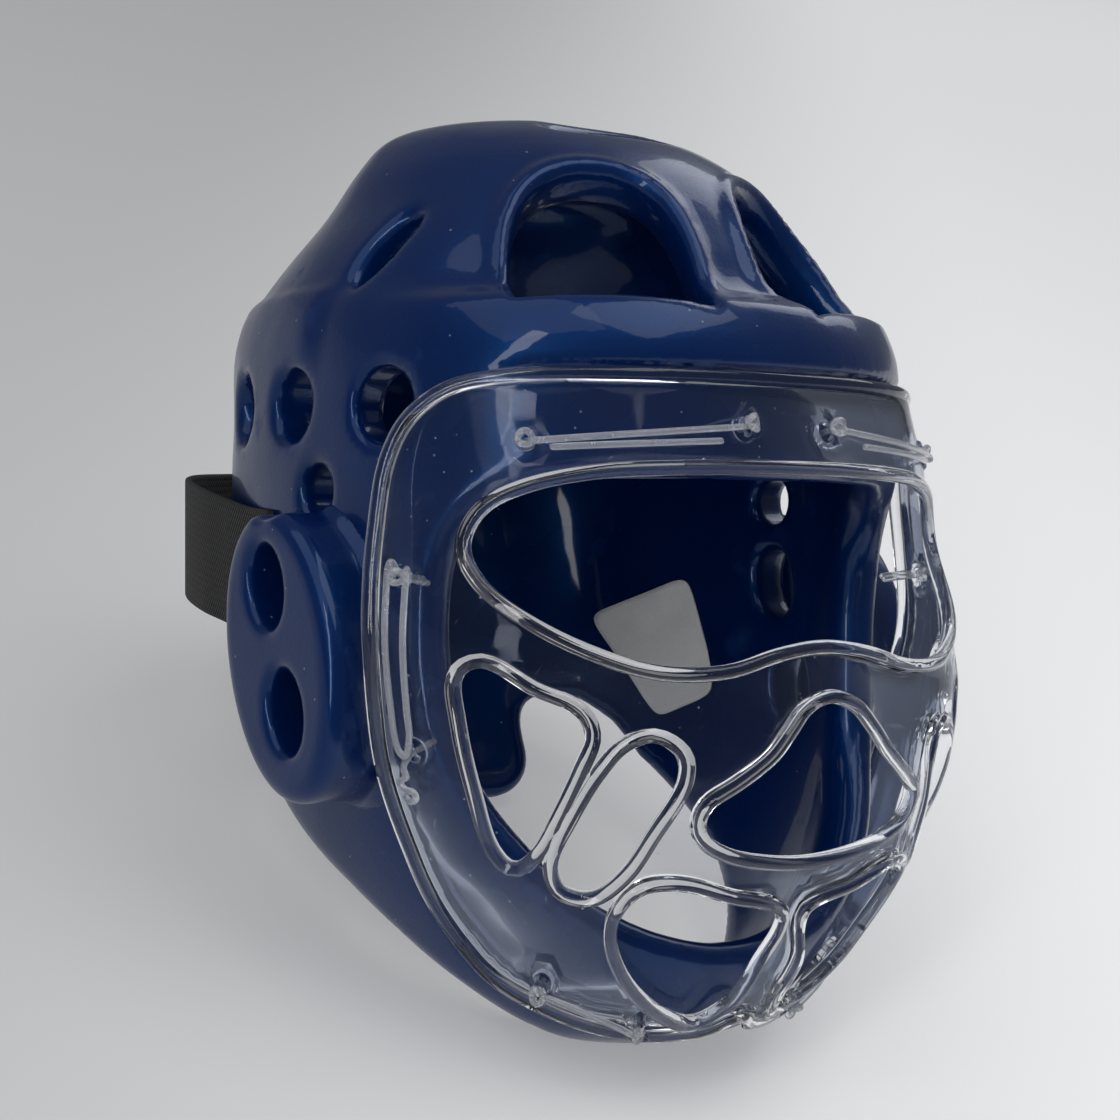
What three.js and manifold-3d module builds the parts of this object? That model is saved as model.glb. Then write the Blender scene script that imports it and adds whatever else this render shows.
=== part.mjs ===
// Sparring headgear with a clear face shield, lying back on its chin bar and nape.
// Millimetres. Every piece is shaped as worn, about a datum on the ear line at eye level:
// +Z up, the face towards -Y, +X the wearer's left. The whole is then leaned back to its rest.
import * as THREE from 'three';
import { mergeVertices } from 'three/addons/utils/BufferGeometryUtils.js';
import loadManifold from 'manifold-3d';

const wasm = await loadManifold();
wasm.setup();

// Clearances
const GAP = 0.35;
const LACE_CLEARANCE = 0.6;
const LACE_STANDOFF = 1.1;

// Shell sizes, from the datum
const CROWN_HEIGHT = 134.5;
const CHIN_DEPTH = 146;
const HALF_WIDTH = 97;
const FRONT_REACH = 101;
const BACK_REACH = 107.5;
const FOAM = 15;

// The raised forehead band: its proudest line, the ledge above it and where it fades out
const BAND_LIFT = 5;
const BAND_TOP = 76;
const BAND_LEDGE = 7;
const BAND_FOOT = 30;
const BAND_FULL = 62;
const BAND_TURN = 50;
const BAND_END = 82;

// The lobe at the nape, and how far the foam is pressed flat where it rests
const LOBE_HALF_WIDTH = 40;
const LOBE_DEPTH = 82;
const LOBE_CORNER = 16;
const REST_PRESS = 2;

// Vents of the shell
const SIDE_VENT_DIAMETER = 21;
const TOP_VENT_LENGTH = 44;
const TOP_VENT_WIDTH = 20;
const SLOT_LENGTH = 27;
const SLOT_WIDTH = 10;
const D_VENT_WIDTH = 55;
const D_VENT_HEIGHT = 50;
const D_RIM_WIDTH = 6;
const D_RIM_RISE = 2;

// Ear cups
const EAR_CUP_LENGTH = 84;
const EAR_CUP_WIDTH = 54;
const EAR_CUP_RISE = 18;
const EAR_CUP_ROUNDING = 4;
const EAR_CUP_LEAN = 16;
const EAR_CUP_BACK = -15.5;
const EAR_CUP_UP = -27;
const EAR_HOLE_LENGTH = 24;
const EAR_HOLE_WIDTH = 17;
const EAR_HOLE_SPACING = 36;

// Face shield: its stand-off is how far it bulges past the shell, in front and at the sides
const SHIELD_TOP = 52;
const SHIELD_CHIN_GAP = 8;
const SHIELD_SIDE_STANDOFF = 13;
const SHIELD_FRONT_STANDOFF = 19;
const SHIELD_SHEET = 2.5;
const RIM_WIDTH = 4;
const RIM_RISE = 1;
const LACE_HOLE = 5;

// Laces, strap and label
const LACE_DIAMETER = 2.4;
const LACE_DEPTH = 9;
const STRAP_WIDTH = 38;
const STRAP_THICKNESS = 2;
const STRAP_SLACK = 21;
const LABEL_THICKNESS = 0.6;

// How finely curves are cut into faces
const AROUND = 36;
const AROUND_INSIDE = 20;
const SHIELD_COLUMNS = 12;
const STRAP_STEPS = 11;
const LACE_SIDES = 8;
const LACE_POINTS = 7;

// The upright line that bearings turn about, as a share of the front reach
const TURN_CENTRE = 0.1;
// How far a cutter runs past what it cuts
const REACH_PAST = 60;

const SHIELD_DEPTH = CHIN_DEPTH - SHIELD_CHIN_GAP;
const SHIELD_HALF_WIDTH = HALF_WIDTH + SHIELD_SIDE_STANDOFF;
const SHIELD_REACH = FRONT_REACH + SHIELD_FRONT_STANDOFF;
const SHELL_MEAN = (HALF_WIDTH + FRONT_REACH + BACK_REACH) / 3;
const EAR_CUP_FACE = HALF_WIDTH + EAR_CUP_RISE;

// Sections of the shell from crown to chin. up is a share of the crown height, or of the
// chin depth below the datum; front and middle are shares of the front reach, back of the
// back reach and half of the half width; square is the exponent of the superellipse.
const SHELL_SECTIONS = [
  { up: 1.0, front: -0.178, back: 0.167, half: 0.0, middle: -0.178, square: 2.1 },
  { up: 0.991, front: 0.129, back: 0.353, half: 0.33, middle: -0.178, square: 2.1 },
  { up: 0.952, front: 0.317, back: 0.437, half: 0.52, middle: -0.139, square: 2.1 },
  { up: 0.877, front: 0.51, back: 0.512, half: 0.63, middle: -0.099, square: 2.15 },
  { up: 0.773, front: 0.65, back: 0.64, half: 0.722, middle: -0.05, square: 2.2 },
  { up: 0.669, front: 0.733, back: 0.81, half: 0.83, middle: 0.0, square: 2.2 },
  { up: 0.587, front: 0.79, back: 0.93, half: 0.9, middle: 0.03, square: 2.2 },
  { up: 0.528, front: 0.885, back: 0.972, half: 0.945, middle: 0.05, square: 2.2 },
  { up: 0.416, front: 0.95, back: 1.0, half: 0.98, middle: 0.08, square: 2.2 },
  { up: 0.208, front: 0.985, back: 1.0, half: 1.0, middle: 0.1, square: 2.25 },
  { up: 0.0, front: 1.0, back: 0.958, half: 1.0, middle: 0.1, square: 2.3 },
  { up: -0.171, front: 1.0, back: 0.909, half: 0.99, middle: 0.1, square: 2.3 },
  { up: -0.342, front: 0.99, back: 0.847, half: 0.969, middle: 0.1, square: 2.3 },
  { up: -0.548, front: 0.96, back: 0.753, half: 0.897, middle: 0.1, square: 2.3 },
  { up: -0.719, front: 0.891, back: 0.633, half: 0.773, middle: 0.1, square: 2.3 },
  { up: -0.856, front: 0.792, back: 0.484, half: 0.619, middle: 0.12, square: 2.3 },
  { up: -0.945, front: 0.673, back: 0.279, half: 0.433, middle: 0.178, square: 2.2 },
  { up: -1.0, front: 0.347, back: -0.326, half: 0.0, middle: 0.347, square: 2.1 },
];

// Sections of the shield from top to chin. down is a share of the whole height of the
// shield, front of its reach and half of its half width.
const SHIELD_SECTIONS = [
  { down: -0.04, front: 0.825, half: 0.925, square: 2.2 },
  { down: 0.0, front: 0.835, half: 0.936, square: 2.21 },
  { down: 0.168, front: 0.896, half: 0.98, square: 2.25 },
  { down: 0.353, front: 0.95, half: 1.0, square: 2.41 },
  { down: 0.537, front: 1.0, half: 0.925, square: 2.46 },
  { down: 0.721, front: 0.907, half: 0.794, square: 2.7 },
  { down: 0.879, front: 0.811, half: 0.64, square: 2.3 },
  { down: 1.01, front: 0.6, half: 0.53, square: 1.8 },
  { down: 1.07, front: 0.45, half: 0.43, square: 1.7 },
];

// Outlines on the shell and the shield. turn is the bearing about the upright line through
// the middle of the section, in degrees from straight ahead, and up is the height, as a
// share of the crown height or of the chin depth.
const FACE_OPENING = [
  { turn: 0, up: 0.16 }, { turn: 24, up: 0.16 }, { turn: 43, up: 0.15 },
  { turn: 54, up: 0.108 }, { turn: 60.5, up: 0.03 }, { turn: 63.3, up: -0.1 },
  { turn: 62.6, up: -0.27 }, { turn: 58.5, up: -0.425 }, { turn: 50, up: -0.54 },
  { turn: 41.3, up: -0.625 }, { turn: 26, up: -0.705 }, { turn: 10, up: -0.745 },
  { turn: 0, up: -0.75 },
];

// Side profile of the lower edge, from behind the nape forward to the chin. back is a
// share of the back reach, and up of the chin depth.
const LOWER_EDGE = [
  { back: 1.3, up: -0.3 }, { back: 0.75, up: -0.31 }, { back: 0.57, up: -0.34 },
  { back: 0.48, up: -0.39 }, { back: 0.38, up: -0.47 }, { back: 0.2, up: -0.57 },
  { back: 0.01, up: -0.67 }, { back: -0.12, up: -0.755 }, { back: -0.25, up: -0.85 },
  { back: -0.35, up: -0.94 }, { back: -0.39, up: -1.1 },
];

// The outlines of the shield, with heights as shares of its depth below the datum
const SHIELD_EDGE = [
  { turn: 0, up: 0.377 }, { turn: 30, up: 0.377 }, { turn: 51, up: 0.37 },
  { turn: 60, up: 0.348 }, { turn: 66.5, up: 0.29 }, { turn: 70, up: 0.2 },
  { turn: 71.3, up: 0.03 }, { turn: 71.5, up: -0.19 }, { turn: 73, up: -0.4 },
  { turn: 71.6, up: -0.58 }, { turn: 68.5, up: -0.74 }, { turn: 61, up: -0.86 },
  { turn: 50, up: -0.925 }, { turn: 36, up: -0.975 }, { turn: 19, up: -1.0 },
  { turn: 6, up: -0.99 }, { turn: 0, up: -0.965 },
];
const EYE_OPENING = [
  { turn: 0, up: 0.168 }, { turn: 20, up: 0.165 }, { turn: 37, up: 0.154 },
  { turn: 47, up: 0.127 }, { turn: 52.5, up: 0.09 }, { turn: 54.8, up: 0.025 },
  { turn: 52, up: -0.045 }, { turn: 45, up: -0.116 }, { turn: 37, up: -0.17 },
  { turn: 28.5, up: -0.205 }, { turn: 19, up: -0.206 }, { turn: 9.5, up: -0.176 },
  { turn: 0, up: -0.162 },
];
const MOUTH_OPENING = [
  { turn: 0, up: -0.288 }, { turn: 4.2, up: -0.305 }, { turn: 7.3, up: -0.345 },
  { turn: 11, up: -0.4 }, { turn: 16.5, up: -0.452 }, { turn: 20.6, up: -0.488 },
  { turn: 20.8, up: -0.535 }, { turn: 16, up: -0.572 }, { turn: 8, up: -0.593 },
  { turn: 0, up: -0.6 },
];
const CHEEK_OPENING = [
  { turn: -55.4, up: -0.225 }, { turn: -52.8, up: -0.21 }, { turn: -46, up: -0.262 },
  { turn: -40.6, up: -0.295 }, { turn: -39, up: -0.335 }, { turn: -40.5, up: -0.4 },
  { turn: -44, up: -0.505 }, { turn: -47, up: -0.57 }, { turn: -50, up: -0.595 },
  { turn: -52.2, up: -0.565 }, { turn: -54, up: -0.46 }, { turn: -55.6, up: -0.32 },
];
const SLANTED_OPENING = [
  { turn: -29.8, up: -0.352 }, { turn: -26.6, up: -0.378 }, { turn: -26.2, up: -0.43 },
  { turn: -29.7, up: -0.522 }, { turn: -33.6, up: -0.61 }, { turn: -38, up: -0.652 },
  { turn: -41.8, up: -0.643 }, { turn: -43, up: -0.6 }, { turn: -40, up: -0.51 },
  { turn: -36, up: -0.415 }, { turn: -33, up: -0.368 },
];
const JAW_OPENING = [
  { turn: -3.6, up: -0.722 }, { turn: -14, up: -0.688 }, { turn: -24, up: -0.652 },
  { turn: -29.5, up: -0.655 }, { turn: -33, up: -0.705 }, { turn: -33, up: -0.775 },
  { turn: -29, up: -0.855 }, { turn: -22, up: -0.915 }, { turn: -13, up: -0.945 },
  { turn: -8, up: -0.91 }, { turn: -6.2, up: -0.82 },
];
// Ends of the laces on the shield
const LACES = [
  { name: 'lace_forehead', fromTurn: 10, fromUp: 0.265, toTurn: 47.6, toUp: 0.228 },
  { name: 'lace_side', fromTurn: 64.9, fromUp: -0.038, toTurn: 65.6, toUp: -0.386 },
  { name: 'lace_chin', fromTurn: 25.7, fromUp: -0.962, toTurn: 48.1, toUp: -0.872 },
];

// Round side vents: bearing from straight ahead, height as a share of the crown height and
// width as a share of the vent diameter
const SIDE_VENTS = [
  { turn: 74, up: 0.315, wide: 1 }, { turn: 99, up: 0.327, wide: 1 },
  { turn: 121, up: 0.335, wide: 1 }, { turn: 91, up: 0.14, wide: 0.72 },
];

// The large vents beside the crown and the slanted slots behind them: a vent's base sits at
// this bearing and height, and aim is the way through the foam for the left side
const D_VENT = { turn: 31, up: 0.535, aim: { x: 0.33, y: -0.64, z: 0.69 } };
const SLOT = {
  turn: 78, up: 0.665, aim: { x: 0.85, y: -0.12, z: 0.5 }, along: { x: -0.45, y: -0.25, z: 0.7 },
};
// Middle of the top vent, as a share of the front reach
const TOP_VENT_PLACE = 0.23;

// Stations of the strap from one side round the back: off is the stand-off from the foam
// as a share of the loop's slack, and up the height of its middle line.
const STRAP_STATIONS = [
  { turn: 104, off: 0.0, up: -0.034 }, { turn: 111, off: 0.02, up: -0.027 },
  { turn: 120, off: 0.14, up: -0.007 }, { turn: 130, off: 0.4, up: 0.022 },
  { turn: 142, off: 0.72, up: 0.052 }, { turn: 155, off: 0.92, up: 0.067 },
  { turn: 168, off: 1.0, up: 0.074 }, { turn: 180, off: 1.0, up: 0.074 },
];
// Share of the slack past which the strap stands upright instead of hugging the foam
const STRAP_FREE = 0.3;

// Corners of the label on the inner wall
const LABEL_CORNERS = [
  { turn: 137.8, up: -0.151 }, { turn: 113.7, up: -0.045 }, { turn: 104.4, up: -0.318 },
  { turn: 120.9, up: -0.397 },
];

const degrees = THREE.MathUtils.degToRad;
const UP = new THREE.Vector3(0, 0, 1);
const SHELL_CENTRE = -TURN_CENTRE * FRONT_REACH;

// Smooth monotone interpolation of one column of a table, by row number
function smooth(table, column, position) {
  const last = table.length - 1;
  const i = Math.min(Math.max(Math.floor(position), 0), last - 1);
  const t = position - i;
  const at = (k) => table[Math.min(Math.max(k, 0), last)][column];
  const slope = (k) => {
    const before = at(k) - at(k - 1);
    const after = at(k + 1) - at(k);
    if (k === 0) return after;
    if (k === last) return before;
    return before * after > 0 ? (2 * before * after) / (before + after) : 0;
  };
  const t2 = t * t;
  const t3 = t2 * t;
  return (2 * t3 - 3 * t2 + 1) * at(i) + (t3 - 2 * t2 + t) * slope(i)
    + (3 * t2 - 2 * t3) * at(i + 1) + (t3 - t2) * slope(i + 1);
}

// The value where a falling function crosses a level
function crossing(fall, level, from, to) {
  let low = from;
  let high = to;
  for (let k = 0; k < 40; k += 1) {
    const middle = (low + high) / 2;
    if (fall(middle) > level) low = middle;
    else high = middle;
  }
  return (low + high) / 2;
}

function heightOf(up) {
  return up * (up > 0 ? CROWN_HEIGHT : CHIN_DEPTH);
}

function superellipse(turn, half, reach, square) {
  const side = Math.abs(Math.sin(turn)) / half;
  const ahead = Math.abs(Math.cos(turn)) / reach;
  return (side ** square + ahead ** square) ** (-1 / square);
}

const SHELL_LAST = SHELL_SECTIONS.length - 1;
const SHELL_HEIGHTS = SHELL_SECTIONS.map((section) => ({ z: heightOf(section.up) }));
const shellHeight = (row) => smooth(SHELL_HEIGHTS, 'z', row);
const shellRow = (up) => crossing(shellHeight, up, 0, SHELL_LAST);
const shellMiddle = (row) => -smooth(SHELL_SECTIONS, 'middle', row) * FRONT_REACH;

// How far the forehead band stands proud at a height and bearing
function bandLift(up, turn) {
  const { smoothstep, radToDeg } = THREE.MathUtils;
  const ledge = 1 - smoothstep(up, BAND_TOP - BAND_LEDGE, BAND_TOP);
  const swell = smoothstep(up, BAND_FOOT, BAND_FULL);
  const fade = 1 - smoothstep(Math.abs(radToDeg(turn)), BAND_TURN, BAND_END);
  return BAND_LIFT * ledge * swell * fade;
}

// A point of the shell's outside, by row number and bearing in radians
function shellPoint(row, turn) {
  const half = smooth(SHELL_SECTIONS, 'half', row) * HALF_WIDTH;
  const middle = shellMiddle(row);
  const front = middle + smooth(SHELL_SECTIONS, 'front', row) * FRONT_REACH;
  const back = smooth(SHELL_SECTIONS, 'back', row) * BACK_REACH - middle;
  const up = shellHeight(row);
  if (half < GAP) return new THREE.Vector3(0, middle, up);
  const reach = Math.cos(turn) > 0 ? front : back;
  const r = superellipse(turn, half, reach, smooth(SHELL_SECTIONS, 'square', row))
    + bandLift(up, turn);
  return new THREE.Vector3(r * Math.sin(turn), middle - r * Math.cos(turn), up);
}

// A point of the shield's outside
function shieldPoint(row, turn) {
  const up = SHIELD_TOP - smooth(SHIELD_SECTIONS, 'down', row) * (SHIELD_TOP + SHIELD_DEPTH);
  const half = smooth(SHIELD_SECTIONS, 'half', row) * SHIELD_HALF_WIDTH;
  const reach = smooth(SHIELD_SECTIONS, 'front', row) * SHIELD_REACH + SHELL_CENTRE;
  const r = superellipse(turn, half, reach, smooth(SHIELD_SECTIONS, 'square', row));
  return new THREE.Vector3(r * Math.sin(turn), SHELL_CENTRE - r * Math.cos(turn), up);
}

// A point of a surface moved along its outward normal
function movedPoint(surface, row, turn, distance) {
  const step = 0.02;
  const here = surface(row, turn);
  if (distance === 0) return here;
  const across = surface(row, turn + step).sub(surface(row, turn - step));
  const down = surface(row + step, turn).sub(surface(row - step, turn));
  return here.addScaledVector(down.cross(across).normalize(), distance);
}

function shellAt(turn, up, distance = 0) {
  return movedPoint(shellPoint, shellRow(up), degrees(turn), distance);
}

function shieldAt(turn, up, distance = 0) {
  const row = crossing((k) => shieldPoint(k, 0).z, up, 0, SHIELD_SECTIONS.length - 1);
  return movedPoint(shieldPoint, row, degrees(turn), distance);
}

function solidOf(geometry) {
  geometry.deleteAttribute('normal');
  geometry.deleteAttribute('uv');
  const merged = mergeVertices(geometry, 1e-4);
  const mesh = new wasm.Mesh({
    numProp: 3,
    vertProperties: new Float32Array(merged.attributes.position.array),
    triVerts: new Uint32Array(merged.index.array),
  });
  return new wasm.Manifold(mesh);
}

function geometryOf(solid) {
  const mesh = solid.getMesh();
  const geometry = new THREE.BufferGeometry();
  geometry.setAttribute('position', new THREE.BufferAttribute(mesh.vertProperties, 3));
  geometry.setIndex(new THREE.BufferAttribute(mesh.triVerts, 1));
  return geometry;
}

function solidFrom(points, triangles) {
  const geometry = new THREE.BufferGeometry();
  geometry.setFromPoints(points);
  geometry.setIndex(triangles);
  return solidOf(geometry);
}

// A closed body through rings of points, each end closed by a fan to one point
function bodyOfRings(rings, start, end) {
  const count = rings[0].length;
  const points = rings.flat();
  const triangles = [];
  for (let i = 0; i < rings.length - 1; i += 1) {
    for (let j = 0; j < count; j += 1) {
      const a = i * count + j;
      const b = i * count + ((j + 1) % count);
      triangles.push(a, b, b + count, a, b + count, a + count);
    }
  }
  const first = points.push(start) - 1;
  const last = points.push(end) - 1;
  const base = (rings.length - 1) * count;
  for (let j = 0; j < count; j += 1) {
    const next = (j + 1) % count;
    triangles.push(first, next, j);
    triangles.push(last, base + j, base + next);
  }
  return solidFrom(points, triangles);
}

// The shell's outside as a full body, moved out or in by a distance
function shellBody(distance, around = AROUND) {
  const rings = [];
  for (let row = 1; row < SHELL_LAST; row += 1) {
    const ring = [];
    for (let j = 0; j < around; j += 1) {
      ring.push(movedPoint(shellPoint, row, (-j * 2 * Math.PI) / around, distance));
    }
    rings.push(ring);
  }
  const top = shellPoint(0, 0);
  const bottom = shellPoint(SHELL_LAST, 0);
  top.z += distance;
  bottom.z -= distance;
  return bodyOfRings(rings, top, bottom);
}

// A prism whose sides run straight out from the upright line that bearings turn about, cut to
// an outline of bearings in degrees and heights. Its rings lie close where it meets a skin.
function radialPrism(outline) {
  const flat = outline.map((p) => new THREE.Vector2(p.x, p.y));
  if (THREE.ShapeUtils.isClockWise(flat)) flat.reverse();
  const place = (p, r) => {
    const turn = degrees(p.x);
    return new THREE.Vector3(r * Math.sin(turn), SHELL_CENTRE - r * Math.cos(turn), p.y);
  };
  const radii = [0.15, 0.5, 0.63, 0.79, 0.99, 1.24, 6.5].map((share) => share * SHELL_MEAN);
  const points = radii.flatMap((r) => flat.map((p) => place(p, r)));
  const triangles = [];
  const count = flat.length;
  const far = (radii.length - 1) * count;
  for (const [a, b, c] of THREE.ShapeUtils.triangulateShape(flat, [])) {
    triangles.push(a, c, b, far + a, far + b, far + c);
  }
  for (let k = 0; k < far; k += count) {
    for (let j = 0; j < count; j += 1) {
      const next = (j + 1) % count;
      triangles.push(k + j, k + next, k + count + next);
      triangles.push(k + j, k + count + next, k + count + j);
    }
  }
  return solidFrom(points, triangles);
}

// A closed smooth outline through a table's points, given whole or as its left half. A
// height is a share of the crown height or of the depth below the datum.
function outlineOf(table, depth, mirrored) {
  const height = (up) => up * (up > 0 && depth === CHIN_DEPTH ? CROWN_HEIGHT : depth);
  const points = table.map((p) => new THREE.Vector3(p.turn, height(p.up), 0));
  if (mirrored) {
    const inner = points.slice(1, -1).reverse();
    points.push(...inner.map((p) => new THREE.Vector3(-p.x, p.y, 0)));
  }
  const curve = new THREE.CatmullRomCurve3(points, true, 'centripetal');
  return curve.getPoints(points.length).slice(0, -1).map((p) => new THREE.Vector2(p.x, p.y));
}

// An outline moved outward by a distance, with its bearings taken at the shield's face
function grown(outline, distance) {
  const length = degrees(1) * (SHIELD_REACH + SHELL_CENTRE);
  const flat = outline.map((p) => new THREE.Vector2(p.x * length, p.y));
  const side = THREE.ShapeUtils.isClockWise(flat) ? -1 : 1;
  return flat.map((p, i) => {
    const before = flat[(i + flat.length - 1) % flat.length];
    const after = flat[(i + 1) % flat.length];
    const along = after.clone().sub(before).normalize();
    const x = p.x + side * along.y * distance;
    return new THREE.Vector2(x / length, p.y - side * along.x * distance);
  });
}

// A cutter of a flat shape that runs along a direction through a point
function cutterAlong(shape, point, direction, upward, depth, options = {}) {
  const geometry = new THREE.ExtrudeGeometry(shape, {
    depth, bevelEnabled: false, curveSegments: 6, ...options,
  });
  const z = direction.clone().normalize();
  const x = upward.clone().cross(z).normalize();
  const y = z.clone().cross(x);
  geometry.translate(0, 0, -depth / 2);
  geometry.applyMatrix4(new THREE.Matrix4().makeBasis(x, y, z));
  geometry.translate(point.x, point.y, point.z);
  return solidOf(geometry);
}

function oval(length, width) {
  return new THREE.Shape().absellipse(0, 0, width / 2, length / 2, 0, 2 * Math.PI);
}

// D-shaped vent, flat below on the band's ledge and round above, with an extra rim round it
function dShape(rim) {
  const half = D_VENT_WIDTH / 2 + rim;
  const base = -rim;
  const top = D_VENT_HEIGHT + rim;
  const shoulder = D_VENT_HEIGHT * 0.75;
  const shape = new THREE.Shape();
  shape.moveTo(-half, base);
  shape.lineTo(half, base);
  shape.bezierCurveTo(half, shoulder, half * 0.62, top, 0, top);
  shape.bezierCurveTo(-half * 0.62, top, -half, shoulder, -half, base);
  return shape;
}

function dVent(side, rim) {
  const point = shellAt(side * D_VENT.turn, heightOf(D_VENT.up));
  const aim = new THREE.Vector3(side * D_VENT.aim.x, D_VENT.aim.y, D_VENT.aim.z);
  return cutterAlong(dShape(rim), point, aim, UP, REACH_PAST, { curveSegments: 5 });
}

function ventCutters() {
  const cutters = [];
  const slanted = oval(SLOT_LENGTH, SLOT_WIDTH);
  for (const side of [-1, 1]) {
    for (const vent of SIDE_VENTS) {
      const point = shellAt(side * vent.turn, heightOf(vent.up));
      const out = new THREE.Vector3(point.x, point.y - SHELL_CENTRE, 0);
      const round = oval(vent.wide * SIDE_VENT_DIAMETER, vent.wide * SIDE_VENT_DIAMETER);
      cutters.push(cutterAlong(round, point, out, UP, REACH_PAST, { curveSegments: 5 }));
    }
    const slot = shellAt(side * SLOT.turn, heightOf(SLOT.up));
    const aim = new THREE.Vector3(side * SLOT.aim.x, SLOT.aim.y, SLOT.aim.z);
    const along = new THREE.Vector3(side * SLOT.along.x, SLOT.along.y, SLOT.along.z);
    cutters.push(cutterAlong(slanted, slot, aim, along, REACH_PAST));
    cutters.push(dVent(side, 0));
  }
  const crown = new THREE.Vector3(0, -TOP_VENT_PLACE * FRONT_REACH, CROWN_HEIGHT);
  cutters.push(cutterAlong(oval(TOP_VENT_WIDTH, TOP_VENT_LENGTH), crown, UP,
    new THREE.Vector3(0, 1, 0), REACH_PAST, { curveSegments: 6 }));
  return cutters;
}

// A cutter across an ear cup, leaned so that the cup's lower end is further forward
function earCupCutter(shape, side, from, to, along, options = {}) {
  const lean = degrees(EAR_CUP_LEAN);
  const upward = new THREE.Vector3(0, Math.sin(lean), Math.cos(lean));
  const middle = new THREE.Vector3((side * (from + to)) / 2, EAR_CUP_BACK, EAR_CUP_UP);
  middle.addScaledVector(upward, along);
  return cutterAlong(shape, middle, new THREE.Vector3(side, 0, 0), upward, to - from, options);
}

// Both holes of an ear cup. The pair sits a little above the cup's middle.
function earHoles(side) {
  return [-0.45, 0.55].map((place) => earCupCutter(
    oval(EAR_HOLE_LENGTH, EAR_HOLE_WIDTH), side, EAR_CUP_FACE - REACH_PAST,
    EAR_CUP_FACE + REACH_PAST, place * EAR_HOLE_SPACING, { curveSegments: 5 },
  ));
}

// A patch of the shield between two distances from its outer face
function shieldPatch(inner, outer) {
  const columns = SHIELD_COLUMNS;
  const widest = 77;
  const last = SHIELD_SECTIONS.length - 1;
  const points = [];
  for (const distance of [outer, inner]) {
    for (let i = 0; i <= last; i += 1) {
      for (let j = 0; j <= columns; j += 1) {
        const turn = degrees(-widest + (2 * widest * j) / columns);
        points.push(movedPoint(shieldPoint, i, turn, distance));
      }
    }
  }
  const across = columns + 1;
  const layer = (last + 1) * across;
  const triangles = [];
  const quad = (a, b, c, d) => triangles.push(a, b, c, a, c, d);
  for (let i = 0; i < last; i += 1) {
    for (let j = 0; j < columns; j += 1) {
      const a = i * across + j;
      quad(a, a + across, a + across + 1, a + 1);
      quad(layer + a, layer + a + 1, layer + a + across + 1, layer + a + across);
    }
    const left = i * across;
    const right = left + columns;
    quad(left, layer + left, layer + left + across, left + across);
    quad(right, right + across, layer + right + across, layer + right);
  }
  for (let j = 0; j < columns; j += 1) {
    const foot = last * across + j;
    quad(j, j + 1, layer + j + 1, layer + j);
    quad(foot, layer + foot, layer + foot + 1, foot + 1);
  }
  return solidFrom(points, triangles);
}

// The room that the shield takes out of the foam it is drawn against
function shieldSeat() {
  const edge = outlineOf(SHIELD_EDGE, SHIELD_DEPTH, true);
  return shieldPatch(-SHIELD_SHEET - GAP, 2 * FOAM).intersect(radialPrism(grown(edge, GAP)));
}

// Both ends of a lace: the point on the shield, the way out of it and the foam's face behind
function laceEnds(lace, side) {
  const ends = [
    { turn: side * lace.fromTurn, up: lace.fromUp * SHIELD_DEPTH },
    { turn: side * lace.toTurn, up: lace.toUp * SHIELD_DEPTH },
  ];
  return ends.map(({ turn, up }) => {
    const point = shieldAt(turn, up);
    const out = shieldAt(turn, up, 1).sub(point).normalize();
    const clear = (depth) => {
      const p = point.clone().addScaledVector(out, -depth);
      const row = shellRow(p.z);
      const middle = shellMiddle(row);
      const skin = shellPoint(row, Math.atan2(p.x, middle - p.y));
      return Math.hypot(p.x, p.y - middle) - Math.hypot(skin.x, skin.y - middle);
    };
    const seat = crossing(clear, 0, 0, 3 * FOAM);
    return { turn, up, point, out, seat: Math.max(seat, SHIELD_SHEET + GAP) };
  });
}

// Round cutters on the lines of all laces of one side, from one depth to another
function laceHoles(side, diameter, span) {
  return LACES.flatMap((lace) => laceEnds(lace, side)).map((end) => {
    const [from, to] = span(end);
    const middle = end.point.clone().addScaledVector(end.out, -(from + to) / 2);
    return cutterAlong(oval(diameter, diameter), middle, end.out, UP, to - from,
      { curveSegments: 3 });
  });
}

// What lies below the shell's lower edge, apart from the lobe at the nape
function belowEdge() {
  const profile = LOWER_EDGE.map((p) => new THREE.Vector2(p.back * BACK_REACH, p.up * CHIN_DEPTH));
  const below = -CHIN_DEPTH - REACH_PAST;
  profile.push(new THREE.Vector2(profile[profile.length - 1].x, below));
  profile.push(new THREE.Vector2(profile[0].x, below));
  const width = 2 * (HALF_WIDTH + REACH_PAST);
  const edge = cutterAlong(new THREE.Shape(profile), new THREE.Vector3(),
    new THREE.Vector3(1, 0, 0), UP, width);
  const half = LOBE_HALF_WIDTH - LOBE_CORNER;
  const foot = LOBE_CORNER - LOBE_DEPTH;
  const lobe = new THREE.Shape();
  lobe.moveTo(-LOBE_HALF_WIDTH, 0);
  lobe.lineTo(-LOBE_HALF_WIDTH, foot);
  lobe.absarc(-half, foot, LOBE_CORNER, Math.PI, 1.5 * Math.PI);
  lobe.absarc(half, foot, LOBE_CORNER, 1.5 * Math.PI, 2 * Math.PI);
  lobe.lineTo(LOBE_HALF_WIDTH, 0);
  const behind = new THREE.Vector3(0, BACK_REACH, 0);
  const nape = cutterAlong(lobe, behind, new THREE.Vector3(0, 1, 0), UP, BACK_REACH,
    { curveSegments: 3 });
  return edge.subtract(nape);
}

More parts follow.
